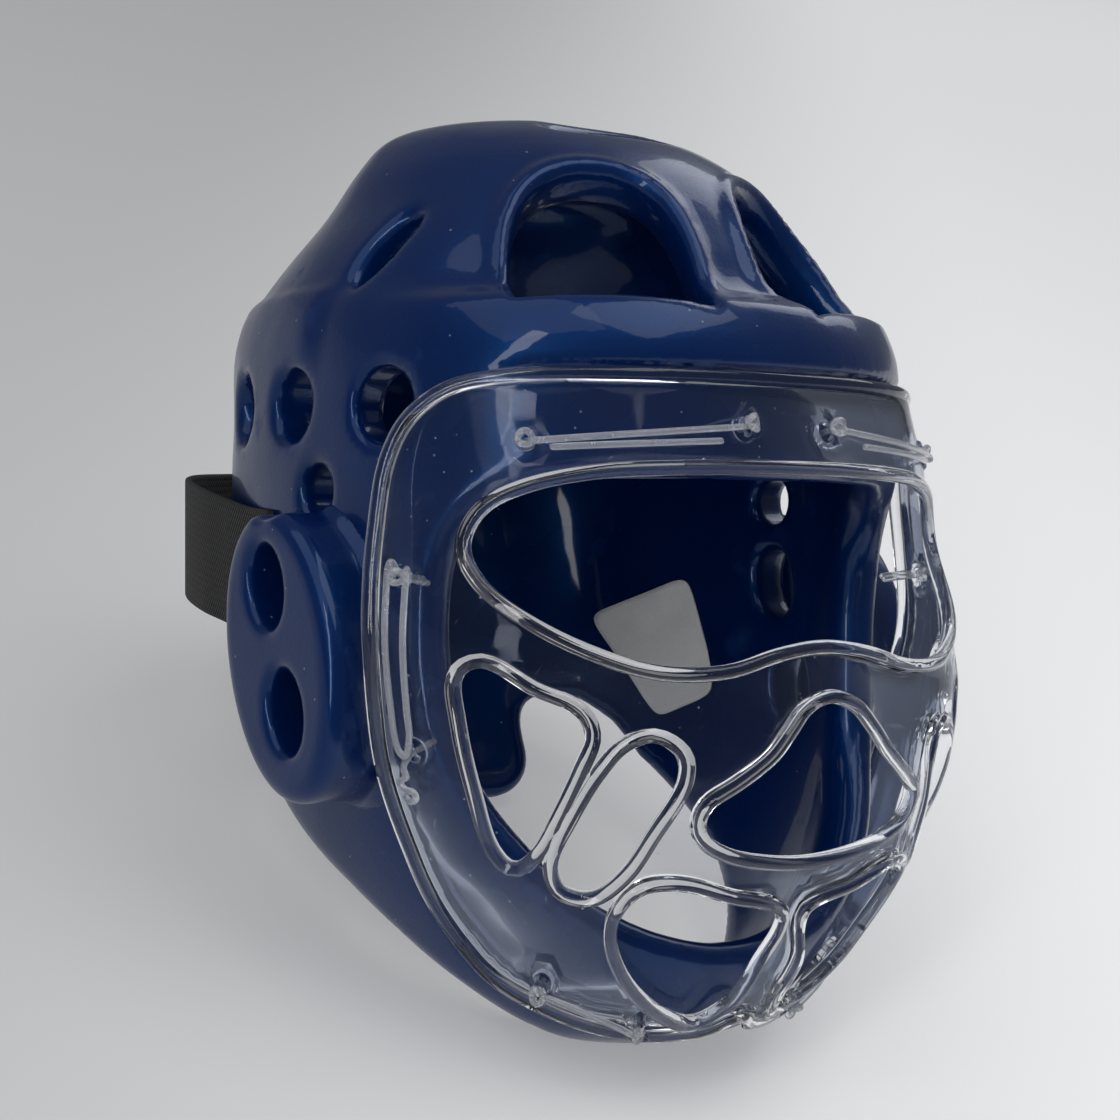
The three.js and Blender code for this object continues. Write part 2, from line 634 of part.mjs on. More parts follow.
function buildShell(seat) {
  const outside = shellBody(0);
  const proud = shellBody(D_RIM_RISE);
  let solid = outside;
  for (const side of [-1, 1]) {
    solid = solid.add(proud.intersect(dVent(side, D_RIM_WIDTH)));
  }
  solid = solid.subtract(shellBody(-FOAM, AROUND_INSIDE));
  solid = solid.subtract(radialPrism(outlineOf(FACE_OPENING, CHIN_DEPTH, true)));
  solid = solid.subtract(belowEdge());
  for (const cutter of ventCutters()) solid = solid.subtract(cutter);
  solid = solid.subtract(seat);
  const diameter = LACE_DIAMETER + 2 * LACE_CLEARANCE;
  const intoFoam = (end) => [0, end.seat + LACE_DEPTH + GAP];
  for (const side of [-1, 1]) {
    for (const hole of earHoles(side)) solid = solid.subtract(hole);
    for (const hole of laceHoles(side, diameter, intoFoam)) solid = solid.subtract(hole);
  }
  return solid;
}

function buildEarCup(side, skin, seat) {
  const rounding = EAR_CUP_ROUNDING;
  const inner = HALF_WIDTH - 2 * FOAM;
  const shape = oval(EAR_CUP_LENGTH - 2 * rounding, EAR_CUP_WIDTH - 2 * rounding);
  let solid = earCupCutter(shape, side, inner, EAR_CUP_FACE - rounding, 0, {
    curveSegments: 8, bevelEnabled: true, bevelThickness: rounding, bevelSize: rounding,
    bevelSegments: 2,
  });
  solid = solid.subtract(skin).subtract(seat);
  for (const hole of earHoles(side)) solid = solid.subtract(hole);
  return solid;
}

function buildShield() {
  const edge = outlineOf(SHIELD_EDGE, SHIELD_DEPTH, true);
  const openings = [EYE_OPENING, MOUTH_OPENING].map((t) => outlineOf(t, SHIELD_DEPTH, true));
  for (const table of [CHEEK_OPENING, SLANTED_OPENING, JAW_OPENING]) {
    const outline = outlineOf(table, SHIELD_DEPTH, false);
    openings.push(outline, outline.map((p) => new THREE.Vector2(-p.x, p.y)));
  }
  const raised = shieldPatch(-SHIELD_SHEET / 2, RIM_RISE);
  let rims = raised.subtract(radialPrism(grown(edge, -RIM_WIDTH)));
  for (const outline of openings) {
    rims = rims.add(raised.intersect(radialPrism(grown(outline, RIM_WIDTH))));
  }
  let solid = shieldPatch(-SHIELD_SHEET, 0).add(rims).intersect(radialPrism(edge));
  for (const outline of openings) solid = solid.subtract(radialPrism(outline));
  const through = () => [-FOAM / 2, FOAM / 2];
  for (const side of [-1, 1]) {
    for (const hole of laceHoles(side, LACE_HOLE, through)) solid = solid.subtract(hole);
  }
  return solid;
}

// A lace: out of the foam and the shield, along the shield's face and back in
function buildLace(lace, side) {
  const rise = RIM_RISE + LACE_STANDOFF + LACE_DIAMETER / 2;
  const [first, last] = laceEnds(lace, side);
  const on = (end, distance) => end.point.clone().addScaledVector(end.out, distance);
  const deep = (end) => on(end, -end.seat - LACE_DEPTH);
  const points = [deep(first), on(first, -SHIELD_SHEET), on(first, rise - LACE_DIAMETER)];
  const bend = 0.09;
  for (let k = 0; k <= LACE_POINTS; k += 1) {
    const share = THREE.MathUtils.lerp(bend, 1 - bend, k / LACE_POINTS);
    const turn = THREE.MathUtils.lerp(first.turn, last.turn, share);
    points.push(shieldAt(turn, THREE.MathUtils.lerp(first.up, last.up, share), rise));
  }
  points.push(on(last, rise - LACE_DIAMETER), on(last, -SHIELD_SHEET), deep(last));
  const curve = new THREE.CatmullRomCurve3(points, false, 'centripetal');
  const section = new THREE.Shape();
  for (let k = 0; k < LACE_SIDES; k += 1) {
    const angle = (2 * Math.PI * k) / LACE_SIDES;
    const corner = [(LACE_DIAMETER / 2) * Math.cos(angle), (LACE_DIAMETER / 2) * Math.sin(angle)];
    if (k === 0) section.moveTo(...corner);
    else section.lineTo(...corner);
  }
  const steps = Math.round(curve.getLength() / (3 * LACE_DIAMETER));
  return solidOf(new THREE.ExtrudeGeometry(section, { steps, extrudePath: curve }));
}

// One section of the strap, its corners in order round it
function strapRing(station) {
  const { turn, off, up } = station;
  const low = up - STRAP_WIDTH / 2;
  const high = up + STRAP_WIDTH / 2;
  const radius = (level) => {
    const p = shellAt(turn, level);
    return Math.hypot(p.x, p.y - SHELL_CENTRE);
  };
  const widest = Math.max(radius(low), radius(up), radius(high));
  const upright = THREE.MathUtils.clamp(off / (STRAP_FREE * STRAP_SLACK), 0, 1);
  const near = off + GAP;
  const outer = near + STRAP_THICKNESS;
  const corners = [[near, up], [near, high], [outer, high], [outer, up], [outer, low], [near, low]];
  return corners.map(([distance, level]) => {
    const r = THREE.MathUtils.lerp(radius(level), widest, upright) + distance;
    const angle = degrees(turn);
    return new THREE.Vector3(r * Math.sin(angle), SHELL_CENTRE - r * Math.cos(angle), level);
  });
}

function buildStrap() {
  const stations = [];
  for (let k = 0; k <= STRAP_STEPS; k += 1) {
    const row = ((STRAP_STATIONS.length - 1) * k) / STRAP_STEPS;
    const off = smooth(STRAP_STATIONS, 'off', row) * STRAP_SLACK;
    const up = heightOf(smooth(STRAP_STATIONS, 'up', row));
    stations.push({ turn: smooth(STRAP_STATIONS, 'turn', row), off, up });
  }
  const farSide = stations.slice(0, -1).reverse();
  stations.push(...farSide.map((station) => ({ ...station, turn: 360 - station.turn })));
  const rings = stations.map(strapRing);
  const centre = (ring) => ring.reduce((sum, p) => sum.add(p), new THREE.Vector3())
    .divideScalar(ring.length);
  return bodyOfRings(rings, centre(rings[0]), centre(rings[rings.length - 1]));
}

function buildLabel() {
  const outline = LABEL_CORNERS.map((p) => new THREE.Vector2(p.turn, p.up * CHIN_DEPTH));
  const near = shellBody(-FOAM - GAP, AROUND_INSIDE);
  const far = shellBody(-FOAM - GAP - LABEL_THICKNESS, AROUND_INSIDE);
  return near.subtract(far).intersect(radialPrism(outline));
}

// The lean at which the chin bar and the nape touch the ground together
function restLean(points) {
  const height = (p, lean) => p.z * Math.cos(lean) - p.y * Math.sin(lean);
  const lowest = (part, lean) => Math.min(...part.map((p) => height(p, lean)));
  const chin = points.filter((p) => p.y < 0);
  const nape = points.filter((p) => p.y > 0);
  const lean = crossing((a) => lowest(nape, a) - lowest(chin, a), 0, 0, degrees(45));
  return { lean, ground: lowest(chin, lean) + REST_PRESS };
}

// The block below the ground, laid out as the shell is worn
function groundBlock(lean, ground) {
  const size = 2 * (CROWN_HEIGHT + CHIN_DEPTH);
  const block = new THREE.BoxGeometry(size, size, REACH_PAST);
  block.translate(0, 0, ground - REACH_PAST / 2);
  block.rotateX(lean);
  return solidOf(block);
}

const BLUE = { color: 0x0d2f73, roughness: 0.22, metalness: 0 };
const CLEAR = { color: 0xe6eaf0, roughness: 0.08, metalness: 0, transparent: true, opacity: 0.35 };
const LACE = { color: 0xe9ecf2, roughness: 0.2, metalness: 0 };
const BLACK = { color: 0x121212, roughness: 0.85, metalness: 0 };
const WHITE = { color: 0xe8e8e6, roughness: 0.7, metalness: 0 };
const SIDES = [[-1, 'right'], [1, 'left']];

const worn = new THREE.Group();
function addPiece(name, geometry, finish) {
  const mesh = new THREE.Mesh(geometry, new THREE.MeshStandardMaterial(finish));
  mesh.name = name;
  worn.add(mesh);
}

const seat = shieldSeat();
const skin = shellBody(GAP);
const unpressed = buildShell(seat);
const corners = geometryOf(unpressed).getAttribute('position');
const shellPoints = Array.from({ length: corners.count },
  (_, i) => new THREE.Vector3().fromBufferAttribute(corners, i));
const { lean, ground } = restLean(shellPoints);

addPiece('shell', geometryOf(unpressed.subtract(groundBlock(lean, ground))), BLUE);
for (const [side, word] of SIDES) {
  addPiece(`ear_cup_${word}`, geometryOf(buildEarCup(side, skin, seat)), BLUE);
}
addPiece('face_shield', geometryOf(buildShield()), CLEAR);
for (const lace of LACES) {
  for (const [side, word] of SIDES) {
    addPiece(`${lace.name}_${word}`, geometryOf(buildLace(lace, side)), LACE);
  }
}
addPiece('back_strap', geometryOf(buildStrap()), BLACK);
addPiece('inner_label', geometryOf(buildLabel()), WHITE);

// The rest: leaned back, with the ground under the middle of the box
worn.rotation.x = -lean;
worn.updateMatrixWorld(true);
const bounds = new THREE.Box3().setFromObject(worn, true);
worn.position.y = -(bounds.min.y + bounds.max.y) / 2;
worn.position.z = -ground;

const headgear = new THREE.Group();
headgear.add(worn);

export default headgear;
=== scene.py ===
"""Looks of a sparring headgear with a clear face shield, lying back on its chin bar and nape.

Every form is laid out as the headgear is worn, in millimetres from a datum on the ear line at
eye level (+Z up, the face towards -Y, +X the wearer's left), and then leaned back to its rest
and turned into metres.
"""

import math

import bpy
import numpy as np
from mathutils import Matrix, Vector
from mathutils.bvhtree import BVHTree
from mathutils.geometry import delaunay_2d_cdt


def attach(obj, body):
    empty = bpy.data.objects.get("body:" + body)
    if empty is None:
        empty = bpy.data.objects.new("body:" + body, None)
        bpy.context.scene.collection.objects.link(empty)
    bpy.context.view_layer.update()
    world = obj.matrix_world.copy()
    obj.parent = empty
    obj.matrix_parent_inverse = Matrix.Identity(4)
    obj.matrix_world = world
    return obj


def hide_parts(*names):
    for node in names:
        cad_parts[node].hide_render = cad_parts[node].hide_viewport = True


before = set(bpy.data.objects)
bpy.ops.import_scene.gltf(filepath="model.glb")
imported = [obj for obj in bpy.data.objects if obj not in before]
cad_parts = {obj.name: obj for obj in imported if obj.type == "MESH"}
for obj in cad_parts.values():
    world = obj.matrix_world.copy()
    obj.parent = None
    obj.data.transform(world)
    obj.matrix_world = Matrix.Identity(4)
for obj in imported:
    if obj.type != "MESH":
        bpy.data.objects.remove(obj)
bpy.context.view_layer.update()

# The rest: the lean, and where the worn datum comes to lie
REST_LEAN = math.radians(27.9104)
REST_SHIFT = 5.522
REST_RISE = 107.871

# Shell sizes
CROWN_HEIGHT = 134.5
CHIN_DEPTH = 146.0
HALF_WIDTH = 97.0
FRONT_REACH = 101.0
BACK_REACH = 107.5
FOAM = 15.0
BAND_LIFT = 5.0
BAND_TOP = 76.0
BAND_LEDGE = 6.0
BAND_FOOT = 30.0
BAND_FULL = 62.0
BAND_TURN = 50.0
BAND_END = 82.0
CREASE_DEPTH = 1.6
CREASE_HEIGHTS = (76.5, 81.0)
CREASE_TURNS = (90.0, 97.0)
CREASE_FADE = (35.0, 66.0)
LOBE_HALF_WIDTH = 40.0
LOBE_DEPTH = 82.0
LOBE_CORNER = 16.0
TURN_CENTRE = 0.1

# Vents
SIDE_VENT_DIAMETER = 21.0
TOP_VENT_LENGTH = 44.0
TOP_VENT_WIDTH = 20.0
TOP_VENT_PLACE = 0.23
SLOT_LENGTH = 27.0
SLOT_WIDTH = 10.0
D_VENT_WIDTH = 55.0
D_VENT_HEIGHT = 50.0
D_VENT_REACH = 62.0
D_RIM_REACH = 75.0
D_RIM_PLACE = 1.5
D_RIM_WIDTH = 7.0
D_RIM_RISE = 2.2

# Ear cups
EAR_CUP_LENGTH = 84.0
EAR_CUP_WIDTH = 54.0
EAR_CUP_RISE = 18.0
EAR_CUP_LEAN = math.radians(16)
EAR_CUP_BACK = -15.5
EAR_CUP_UP = -27.0
EAR_HOLE_LENGTH = 24.0
EAR_HOLE_WIDTH = 17.0
EAR_HOLE_SPACING = 36.0
EAR_HOLE_PLACES = (-0.45, 0.55)
EAR_CUP_FLARE = 3.0
EAR_CUP_FLARE_HEIGHT = 5.0
EAR_CUP_SINK = 1.6

# Face shield
SHIELD_TOP = 52.0
SHIELD_CHIN_GAP = 8.0
SHIELD_SIDE_STANDOFF = 13.0
SHIELD_FRONT_STANDOFF = 19.0
SHIELD_SHEET = 2.5
LACE_HOLE = 5.0

# Laces, strap and label
CORD_RADIUS = 0.95
LACE_SINK = 13.0
STRAP_WIDTH = 38.0
STRAP_THICKNESS = 2.0
STRAP_SLACK = 21.0
STRAP_FREE = 0.3
STRAP_OFF = 0.4
LABEL_OFF = 0.5
LABEL_THICKNESS = 0.6

# How the dipped foam is rounded and how finely it is cut into faces
EDGE_ROUNDING = 9.0
SKIN_ROUNDING = 6.0
VENT_ROUNDING = 3.5
SLOT_ROUNDING = 5.0
D_VENT_ROUNDING = 7.0
TOP_VENT_ROUNDING = 6.0
LOBE_BLEND = 14.0
SHELL_VOXEL = 2.2
EAR_CUP_VOXEL = 1.4
SHIELD_GRID = 3.2
# How far below the datum the space under the lower edge is taken out
BELOW = -260.0
# The camera's bearing from straight ahead of the worn face
VIEW_TURN = math.radians(39)

SHIELD_DEPTH = CHIN_DEPTH - SHIELD_CHIN_GAP
SHIELD_HALF_WIDTH = HALF_WIDTH + SHIELD_SIDE_STANDOFF
SHIELD_REACH = FRONT_REACH + SHIELD_FRONT_STANDOFF
SHELL_CENTRE = -TURN_CENTRE * FRONT_REACH
EAR_CUP_FACE = HALF_WIDTH + EAR_CUP_RISE

# Sections of the shell from crown to chin, as shares of the sizes above
SHELL_COLUMNS = ("up", "front", "back", "half", "middle", "square")
SHELL_SECTIONS = [
    (1.0, -0.178, 0.167, 0.0, -0.178, 2.1),
    (0.991, 0.129, 0.353, 0.33, -0.178, 2.1),
    (0.952, 0.317, 0.437, 0.52, -0.139, 2.1),
    (0.877, 0.51, 0.512, 0.63, -0.099, 2.15),
    (0.773, 0.65, 0.64, 0.722, -0.05, 2.2),
    (0.669, 0.733, 0.81, 0.83, 0.0, 2.2),
    (0.587, 0.79, 0.93, 0.9, 0.03, 2.2),
    (0.528, 0.885, 0.972, 0.945, 0.05, 2.2),
    (0.416, 0.95, 1.0, 0.98, 0.08, 2.2),
    (0.208, 0.985, 1.0, 1.0, 0.1, 2.25),
    (0.0, 1.0, 0.958, 1.0, 0.1, 2.3),
    (-0.171, 1.0, 0.909, 0.99, 0.1, 2.3),
    (-0.342, 0.99, 0.847, 0.969, 0.1, 2.3),
    (-0.548, 0.96, 0.753, 0.897, 0.1, 2.3),
    (-0.719, 0.891, 0.633, 0.773, 0.1, 2.3),
    (-0.856, 0.792, 0.484, 0.619, 0.12, 2.3),
    (-0.945, 0.673, 0.279, 0.433, 0.178, 2.2),
    (-1.0, 0.347, -0.326, 0.0, 0.347, 2.1),
]
# Sections of the shield from top to chin
SHIELD_COLUMNS = ("down", "front", "half", "square")
SHIELD_SECTIONS = [
    (-0.04, 0.825, 0.925, 2.2),
    (0.0, 0.835, 0.936, 2.21),
    (0.168, 0.896, 0.98, 2.25),
    (0.353, 0.95, 1.0, 2.41),
    (0.537, 1.0, 0.925, 2.46),
    (0.721, 0.907, 0.794, 2.7),
    (0.879, 0.811, 0.64, 2.3),
    (1.01, 0.6, 0.53, 1.8),
    (1.07, 0.45, 0.43, 1.7),
]

# Outlines as bearing in degrees from straight ahead and height as a share of the crown
# height or of the depth below the datum. Those that start and end at bearing 0 are mirrored.
FACE_OPENING = [
    (0, 0.16), (24, 0.16), (43, 0.15), (54, 0.108), (60.5, 0.03), (63.3, -0.1), (62.6, -0.27),
    (58.5, -0.425), (50, -0.54), (41.3, -0.625), (26, -0.705), (10, -0.745), (0, -0.75),
]
SHIELD_EDGE = [
    (0, 0.377), (30, 0.377), (51, 0.37), (60, 0.348), (66.5, 0.29), (70, 0.2), (71.3, 0.03),
    (71.5, -0.19), (73, -0.4), (71.6, -0.58), (68.5, -0.74), (61, -0.86), (50, -0.925),
    (36, -0.975), (19, -1.0), (6, -0.99), (0, -0.965),
]
EYE_OPENING = [
    (0, 0.168), (20, 0.165), (37, 0.154), (47, 0.127), (52.5, 0.09), (54.8, 0.025),
    (52, -0.045), (45, -0.116), (37, -0.17), (28.5, -0.205), (19, -0.206), (9.5, -0.176),
    (0, -0.162),
]
MOUTH_OPENING = [
    (0, -0.288), (4.2, -0.305), (7.3, -0.345), (11, -0.4), (16.5, -0.452), (20.6, -0.488),
    (20.8, -0.535), (16, -0.572), (8, -0.593), (0, -0.6),
]
CHEEK_OPENING = [
    (-55.4, -0.225), (-52.8, -0.21), (-46, -0.262), (-40.6, -0.295), (-39, -0.335),
    (-40.5, -0.4), (-44, -0.505), (-47, -0.57), (-50, -0.595), (-52.2, -0.565), (-54, -0.46),
    (-55.6, -0.32),
]
SLANTED_OPENING = [
    (-29.8, -0.352), (-26.6, -0.378), (-26.2, -0.43), (-29.7, -0.522), (-33.6, -0.61),
    (-38, -0.652), (-41.8, -0.643), (-43, -0.6), (-40, -0.51), (-36, -0.415), (-33, -0.368),
]
JAW_OPENING = [
    (-3.6, -0.722), (-14, -0.688), (-24, -0.652), (-29.5, -0.655), (-33, -0.705),
    (-33, -0.775), (-29, -0.855), (-22, -0.915), (-13, -0.945), (-8, -0.91), (-6.2, -0.82),
]
# Side profile of the lower edge: shares of the back reach and of the chin depth
LOWER_EDGE = [
    (1.3, -0.3), (0.75, -0.31), (0.57, -0.34), (0.48, -0.39), (0.38, -0.47), (0.2, -0.57),
    (0.01, -0.67), (-0.12, -0.755), (-0.25, -0.85), (-0.35, -0.94), (-0.39, -1.1),
]
# Laces on the shield: name, and the bearing and height of each end
LACES = [
    ("lace_forehead", 10, 0.265, 47.6, 0.228),
    ("lace_side", 64.9, -0.038, 65.6, -0.386),
    ("lace_chin", 25.7, -0.962, 48.1, -0.872),
]
# Bearing, height and share of the vent diameter of each round side vent
SIDE_VENTS = [(74, 0.315, 1), (99, 0.327, 1), (121, 0.335, 1), (91, 0.14, 0.72)]
# Large vent and slot: bearing, height and the way through the foam on the left side
D_VENT = {"turn": 31, "up": 0.535, "aim": (0.33, -0.64, 0.69)}
SLOT = {"turn": 78, "up": 0.665, "aim": (0.85, -0.12, 0.5), "along": (-0.45, -0.25, 0.7)}


def smoothstep(value, low, high):
    t = np.clip((value - low) / (high - low), 0.0, 1.0)
    return t * t * (3.0 - 2.0 * t)


def hermite(t, start, leaving, end, arriving):
    """A cubic from one value to another, with its slope at each."""
    t2, t3 = t * t, t * t * t
    return (
        (2 * t3 - 3 * t2 + 1) * start
        + (t3 - 2 * t2 + t) * leaving
        + (3 * t2 - 2 * t3) * end
        + (t3 - t2) * arriving
    )


class Table:
    """A table of sections, read at any row number by smooth monotone interpolation."""

    def __init__(self, names, rows):
        self.values = {name: np.array([row[i] for row in rows]) for i, name in enumerate(names)}
        self.last = len(rows) - 1
        self.slopes = {name: self.slope(v) for name, v in self.values.items()}

    @staticmethod
    def slope(v):
        step = np.diff(v)
        product = step[:-1] * step[1:]
        total = np.where(product > 0, step[:-1] + step[1:], 1.0)
        inner = np.where(product > 0, 2 * product / total, 0.0)
        return np.concatenate(([step[0]], inner, [step[-1]]))

    def __call__(self, name, position):
        i = np.clip(np.floor(position).astype(int), 0, self.last - 1)
        v, s = self.values[name], self.slopes[name]
        return hermite(position - i, v[i], s[i], v[i + 1], s[i + 1])


shell_table = Table(SHELL_COLUMNS, SHELL_SECTIONS)
shield_table = Table(SHIELD_COLUMNS, SHIELD_SECTIONS)
height_table = Table(
    ("z",), [(row[0] * (CROWN_HEIGHT if row[0] > 0 else CHIN_DEPTH),) for row in SHELL_SECTIONS]
)


def joined(*columns):
    """Coordinates of like or broadcast shape as points."""
    return np.stack(np.broadcast_arrays(*columns), axis=-1)


def superellipse(turn, half, reach, square):
    side = np.abs(np.sin(turn)) / half
    ahead = np.abs(np.cos(turn)) / reach
    return (side**square + ahead**square) ** (-1 / square)


def shell_points(row, turn):
    """Points of the shell's outside without its relief, by row number and bearing."""
    half = np.maximum(shell_table("half", row) * HALF_WIDTH, 0.01)
    middle = -shell_table("middle", row) * FRONT_REACH
    front = middle + shell_table("front", row) * FRONT_REACH
    back = shell_table("back", row) * BACK_REACH - middle
    reach = np.maximum(np.where(np.cos(turn) > 0, front, back), 0.01)
    r = superellipse(turn, half, reach, shell_table("square", row))
    z = height_table("z", row)
    return joined(r * np.sin(turn), middle - r * np.cos(turn), z)


def shield_points(turn, z):
    """Points of the shield's outside, by bearing and height."""
    whole = SHIELD_TOP + SHIELD_DEPTH
    rows = np.linspace(0, shield_table.last, 400)
    row = np.interp((SHIELD_TOP - z) / whole, shield_table("down", rows), rows)
    half = shield_table("half", row) * SHIELD_HALF_WIDTH
    reach = shield_table("front", row) * SHIELD_REACH + SHELL_CENTRE
    r = superellipse(turn, half, reach, shield_table("square", row))
    return joined(r * np.sin(turn), SHELL_CENTRE - r * np.cos(turn), z)


def shield_moved(turn, z, distance):
    """Points of the shield moved along its outward normal."""
    step = 0.01
    across = shield_points(turn + step, z) - shield_points(turn - step, z)
    down = shield_points(turn, z - step * 50) - shield_points(turn, z + step * 50)
    normal = np.cross(down, across)
    normal /= np.linalg.norm(normal, axis=-1, keepdims=True)
    return shield_points(turn, z) + normal * np.asarray(distance)[..., None]


def bend(a, b, c, d, count):
    """Points from b towards c of a curve that passes all four, like a wire bent through them."""
    k = [max(np.linalg.norm(v - u) ** 0.5, 1e-6) for u, v in ((a, b), (b, c), (c, d))]
    leaving = ((b - a) / k[0] - (c - a) / (k[0] + k[1]) + (c - b) / k[1]) * k[1]
    arriving = ((c - b) / k[1] - (d - b) / (k[1] + k[2]) + (d - c) / k[2]) * k[1]
    return hermite((np.arange(count) / count)[:, None], b, leaving, c, arriving)


def closed_curve(points, steps):
    """A smooth closed curve through points."""
    p = np.asarray(points, float)
    neighbours = [np.roll(p, shift, axis=0) for shift in (1, 0, -1, -2)]
    return np.concatenate([bend(*four, steps) for four in zip(*neighbours)])


def wire(knots, step=0.5):
    """Close points of a smooth open curve through knots."""
    k = np.asarray(knots, float)
    k = np.vstack([2 * k[0] - k[1], k, 2 * k[-1] - k[-2]])
    parts = [
        bend(a, b, c, d, max(int(np.linalg.norm(c - b) / step), 2))
        for a, b, c, d in zip(k, k[1:], k[2:], k[3:])
    ]
    return np.vstack(parts + [k[-2]])


def outline(table, depth, steps=5):
    """A closed outline of bearings in degrees and heights in millimetres."""
    above = CROWN_HEIGHT if depth == CHIN_DEPTH else depth
    points = [(turn, up * (above if up > 0 else depth)) for turn, up in table]
    if table[0][0] == 0:
        points += [(-turn, z) for turn, z in reversed(points[1:-1])]
    return closed_curve(points, steps)


def polygon_distance(p, q):
    """Signed distance of 2D points to a closed polygon, negative inside."""
    best = np.full(len(p), np.inf)
    inside = np.zeros(len(p), bool)
    for a, b in zip(q, np.roll(q, -1, axis=0)):
        edge, to = b - a, p - a
        share = np.clip((to @ edge) / max(edge @ edge, 1e-12), 0, 1)
        best = np.minimum(best, ((to - share[:, None] * edge) ** 2).sum(1))
        crosses = (a[1] > p[:, 1]) != (b[1] > p[:, 1])
        slope = (b[0] - a[0]) / ((b[1] - a[1]) or 1e-12)
        inside ^= crosses & (p[:, 0] < a[0] + slope * (p[:, 1] - a[1]))
    return np.where(inside, -1, 1) * np.sqrt(best)


def smooth_max(a, b, width):
    """The larger of two distances, with the edge between them rounded off."""
    near = np.maximum(width - np.abs(a - b), 0) / width
    return np.maximum(a, b) + near * near * width / 4


def smooth_min(a, b, width):
    return -smooth_max(-a, -b, width)


def oval_distance(x, y, width, length):
    """Distance to an ellipse, near enough close to its edge."""
    a, b = width / 2, length / 2
    k = np.hypot(x / a, y / b)
    slope = np.hypot(x / a**2, y / b**2)
    return k * (k - 1) / np.maximum(slope, 1e-9)


def grid_points(low, shape, step):
    """Points of an even grid in space."""
    axes = [low[i] + step * np.arange(shape[i]) for i in range(3)]
    return np.stack(np.meshgrid(*axes, indexing="ij"), -1).reshape(-1, 3)


class SampledField:
    """A distance sampled on an even grid and read between its points."""

    def __init__(self, low, high, step, field):
        self.low, self.step = np.array(low, float), step
        self.shape = np.ceil((np.array(high) - self.low) / step).astype(int) + 1
        self.values = field(grid_points(self.low, self.shape, step)).reshape(self.shape)

    def __call__(self, p):
        q = (p - self.low) / self.step
        i = np.clip(np.floor(q).astype(int), 0, self.shape - 2)
        t = np.clip(q - i, 0, 1)
        total = 0
        for corner in np.ndindex(2, 2, 2):
            w = np.prod(np.where(corner, t, 1 - t), axis=1)
            j = i + corner
            total = total + w * self.values[j[:, 0], j[:, 1], j[:, 2]]
        return total


def bvh_distance(bvh):
    """Signed distance to a closed mesh whose faces point out."""

    def distance(points):
        out = np.empty(len(points))
        for k, p in enumerate(points.tolist()):
            place, normal, _, d = bvh.find_nearest(p)
            gap = Vector(p) - place
            out[k] = d if gap.dot(normal) > 0 else -d
        return out

    return distance


def shell_skin():
    """The distance to the shell's outside without relief, sampled on a grid."""
    rows = np.linspace(0.02, shell_table.last - 0.02, 170)
    turns = np.linspace(0, 2 * math.pi, 180, endpoint=False)
    ring = shell_points(rows[:, None], turns[None, :])
    n, m = ring.shape[:2]
    points = ring.reshape(-1, 3).tolist()
    faces = []
    for i in range(n - 1):
        for j in range(m):
            a, b = i * m + j, i * m + (j + 1) % m
            faces.append((a, a + m, b + m, b))
    faces.append(tuple(range(m)))
    faces.append(tuple(reversed(range((n - 1) * m, n * m))))
    bvh = BVHTree.FromPolygons(points, faces)
    return SampledField((-112, -122, -160), (112, 124, 150), 4.0, bvh_distance(bvh))


def unit(v):
    """A vector's direction, one long."""
    v = np.asarray(v, float)
    return v / np.linalg.norm(v)


def local_axes(aim, up):
    """Axes across a line of aim, the second one upwards."""
    z = unit(aim)
    x = unit(np.cross(up, z))
    return x, np.cross(z, x), z


def shell_at(turn, z):
    """The point of the shell's outside at a bearing in degrees and a height."""
    rows = np.linspace(0, shell_table.last, 1700)
    row = np.interp(-z, -height_table("z", rows), rows)
    return shell_points(np.array(row), np.radians(turn))


def extruded(outline_2d, point, aim, up):
    """Distance across a cutter of a flat outline that runs along aim through a point."""
    x, y, _ = local_axes(aim, up)

    def distance(p):
        to = p - point
        flat = np.stack([to @ x, to @ y], -1)
        return outline_2d(flat)

    return distance


def oval(width, length):
    """An ellipse as a flat outline's distance."""
    return lambda q: oval_distance(q[:, 0], q[:, 1], width, length)


def d_outline(steps=14):
    """The large vent's outline: flat below, round above, with its lower corners eased."""
    half, top, shoulder = D_VENT_WIDTH / 2, D_VENT_HEIGHT, D_VENT_HEIGHT * 0.75
    arch = []
    for t in np.linspace(0, 1, steps):
        weights = ((1 - t) ** 3, 3 * t * (1 - t) ** 2, 3 * t * t * (1 - t), t**3)
        corners = ((half, 0), (half, shoulder), (half * 0.62, top), (0, top))
        arch.append(sum(w * np.array(c) for w, c in zip(weights, corners)))
    arch = np.array(arch)
    return np.concatenate([arch, arch[-2::-1] * (-1, 1)])


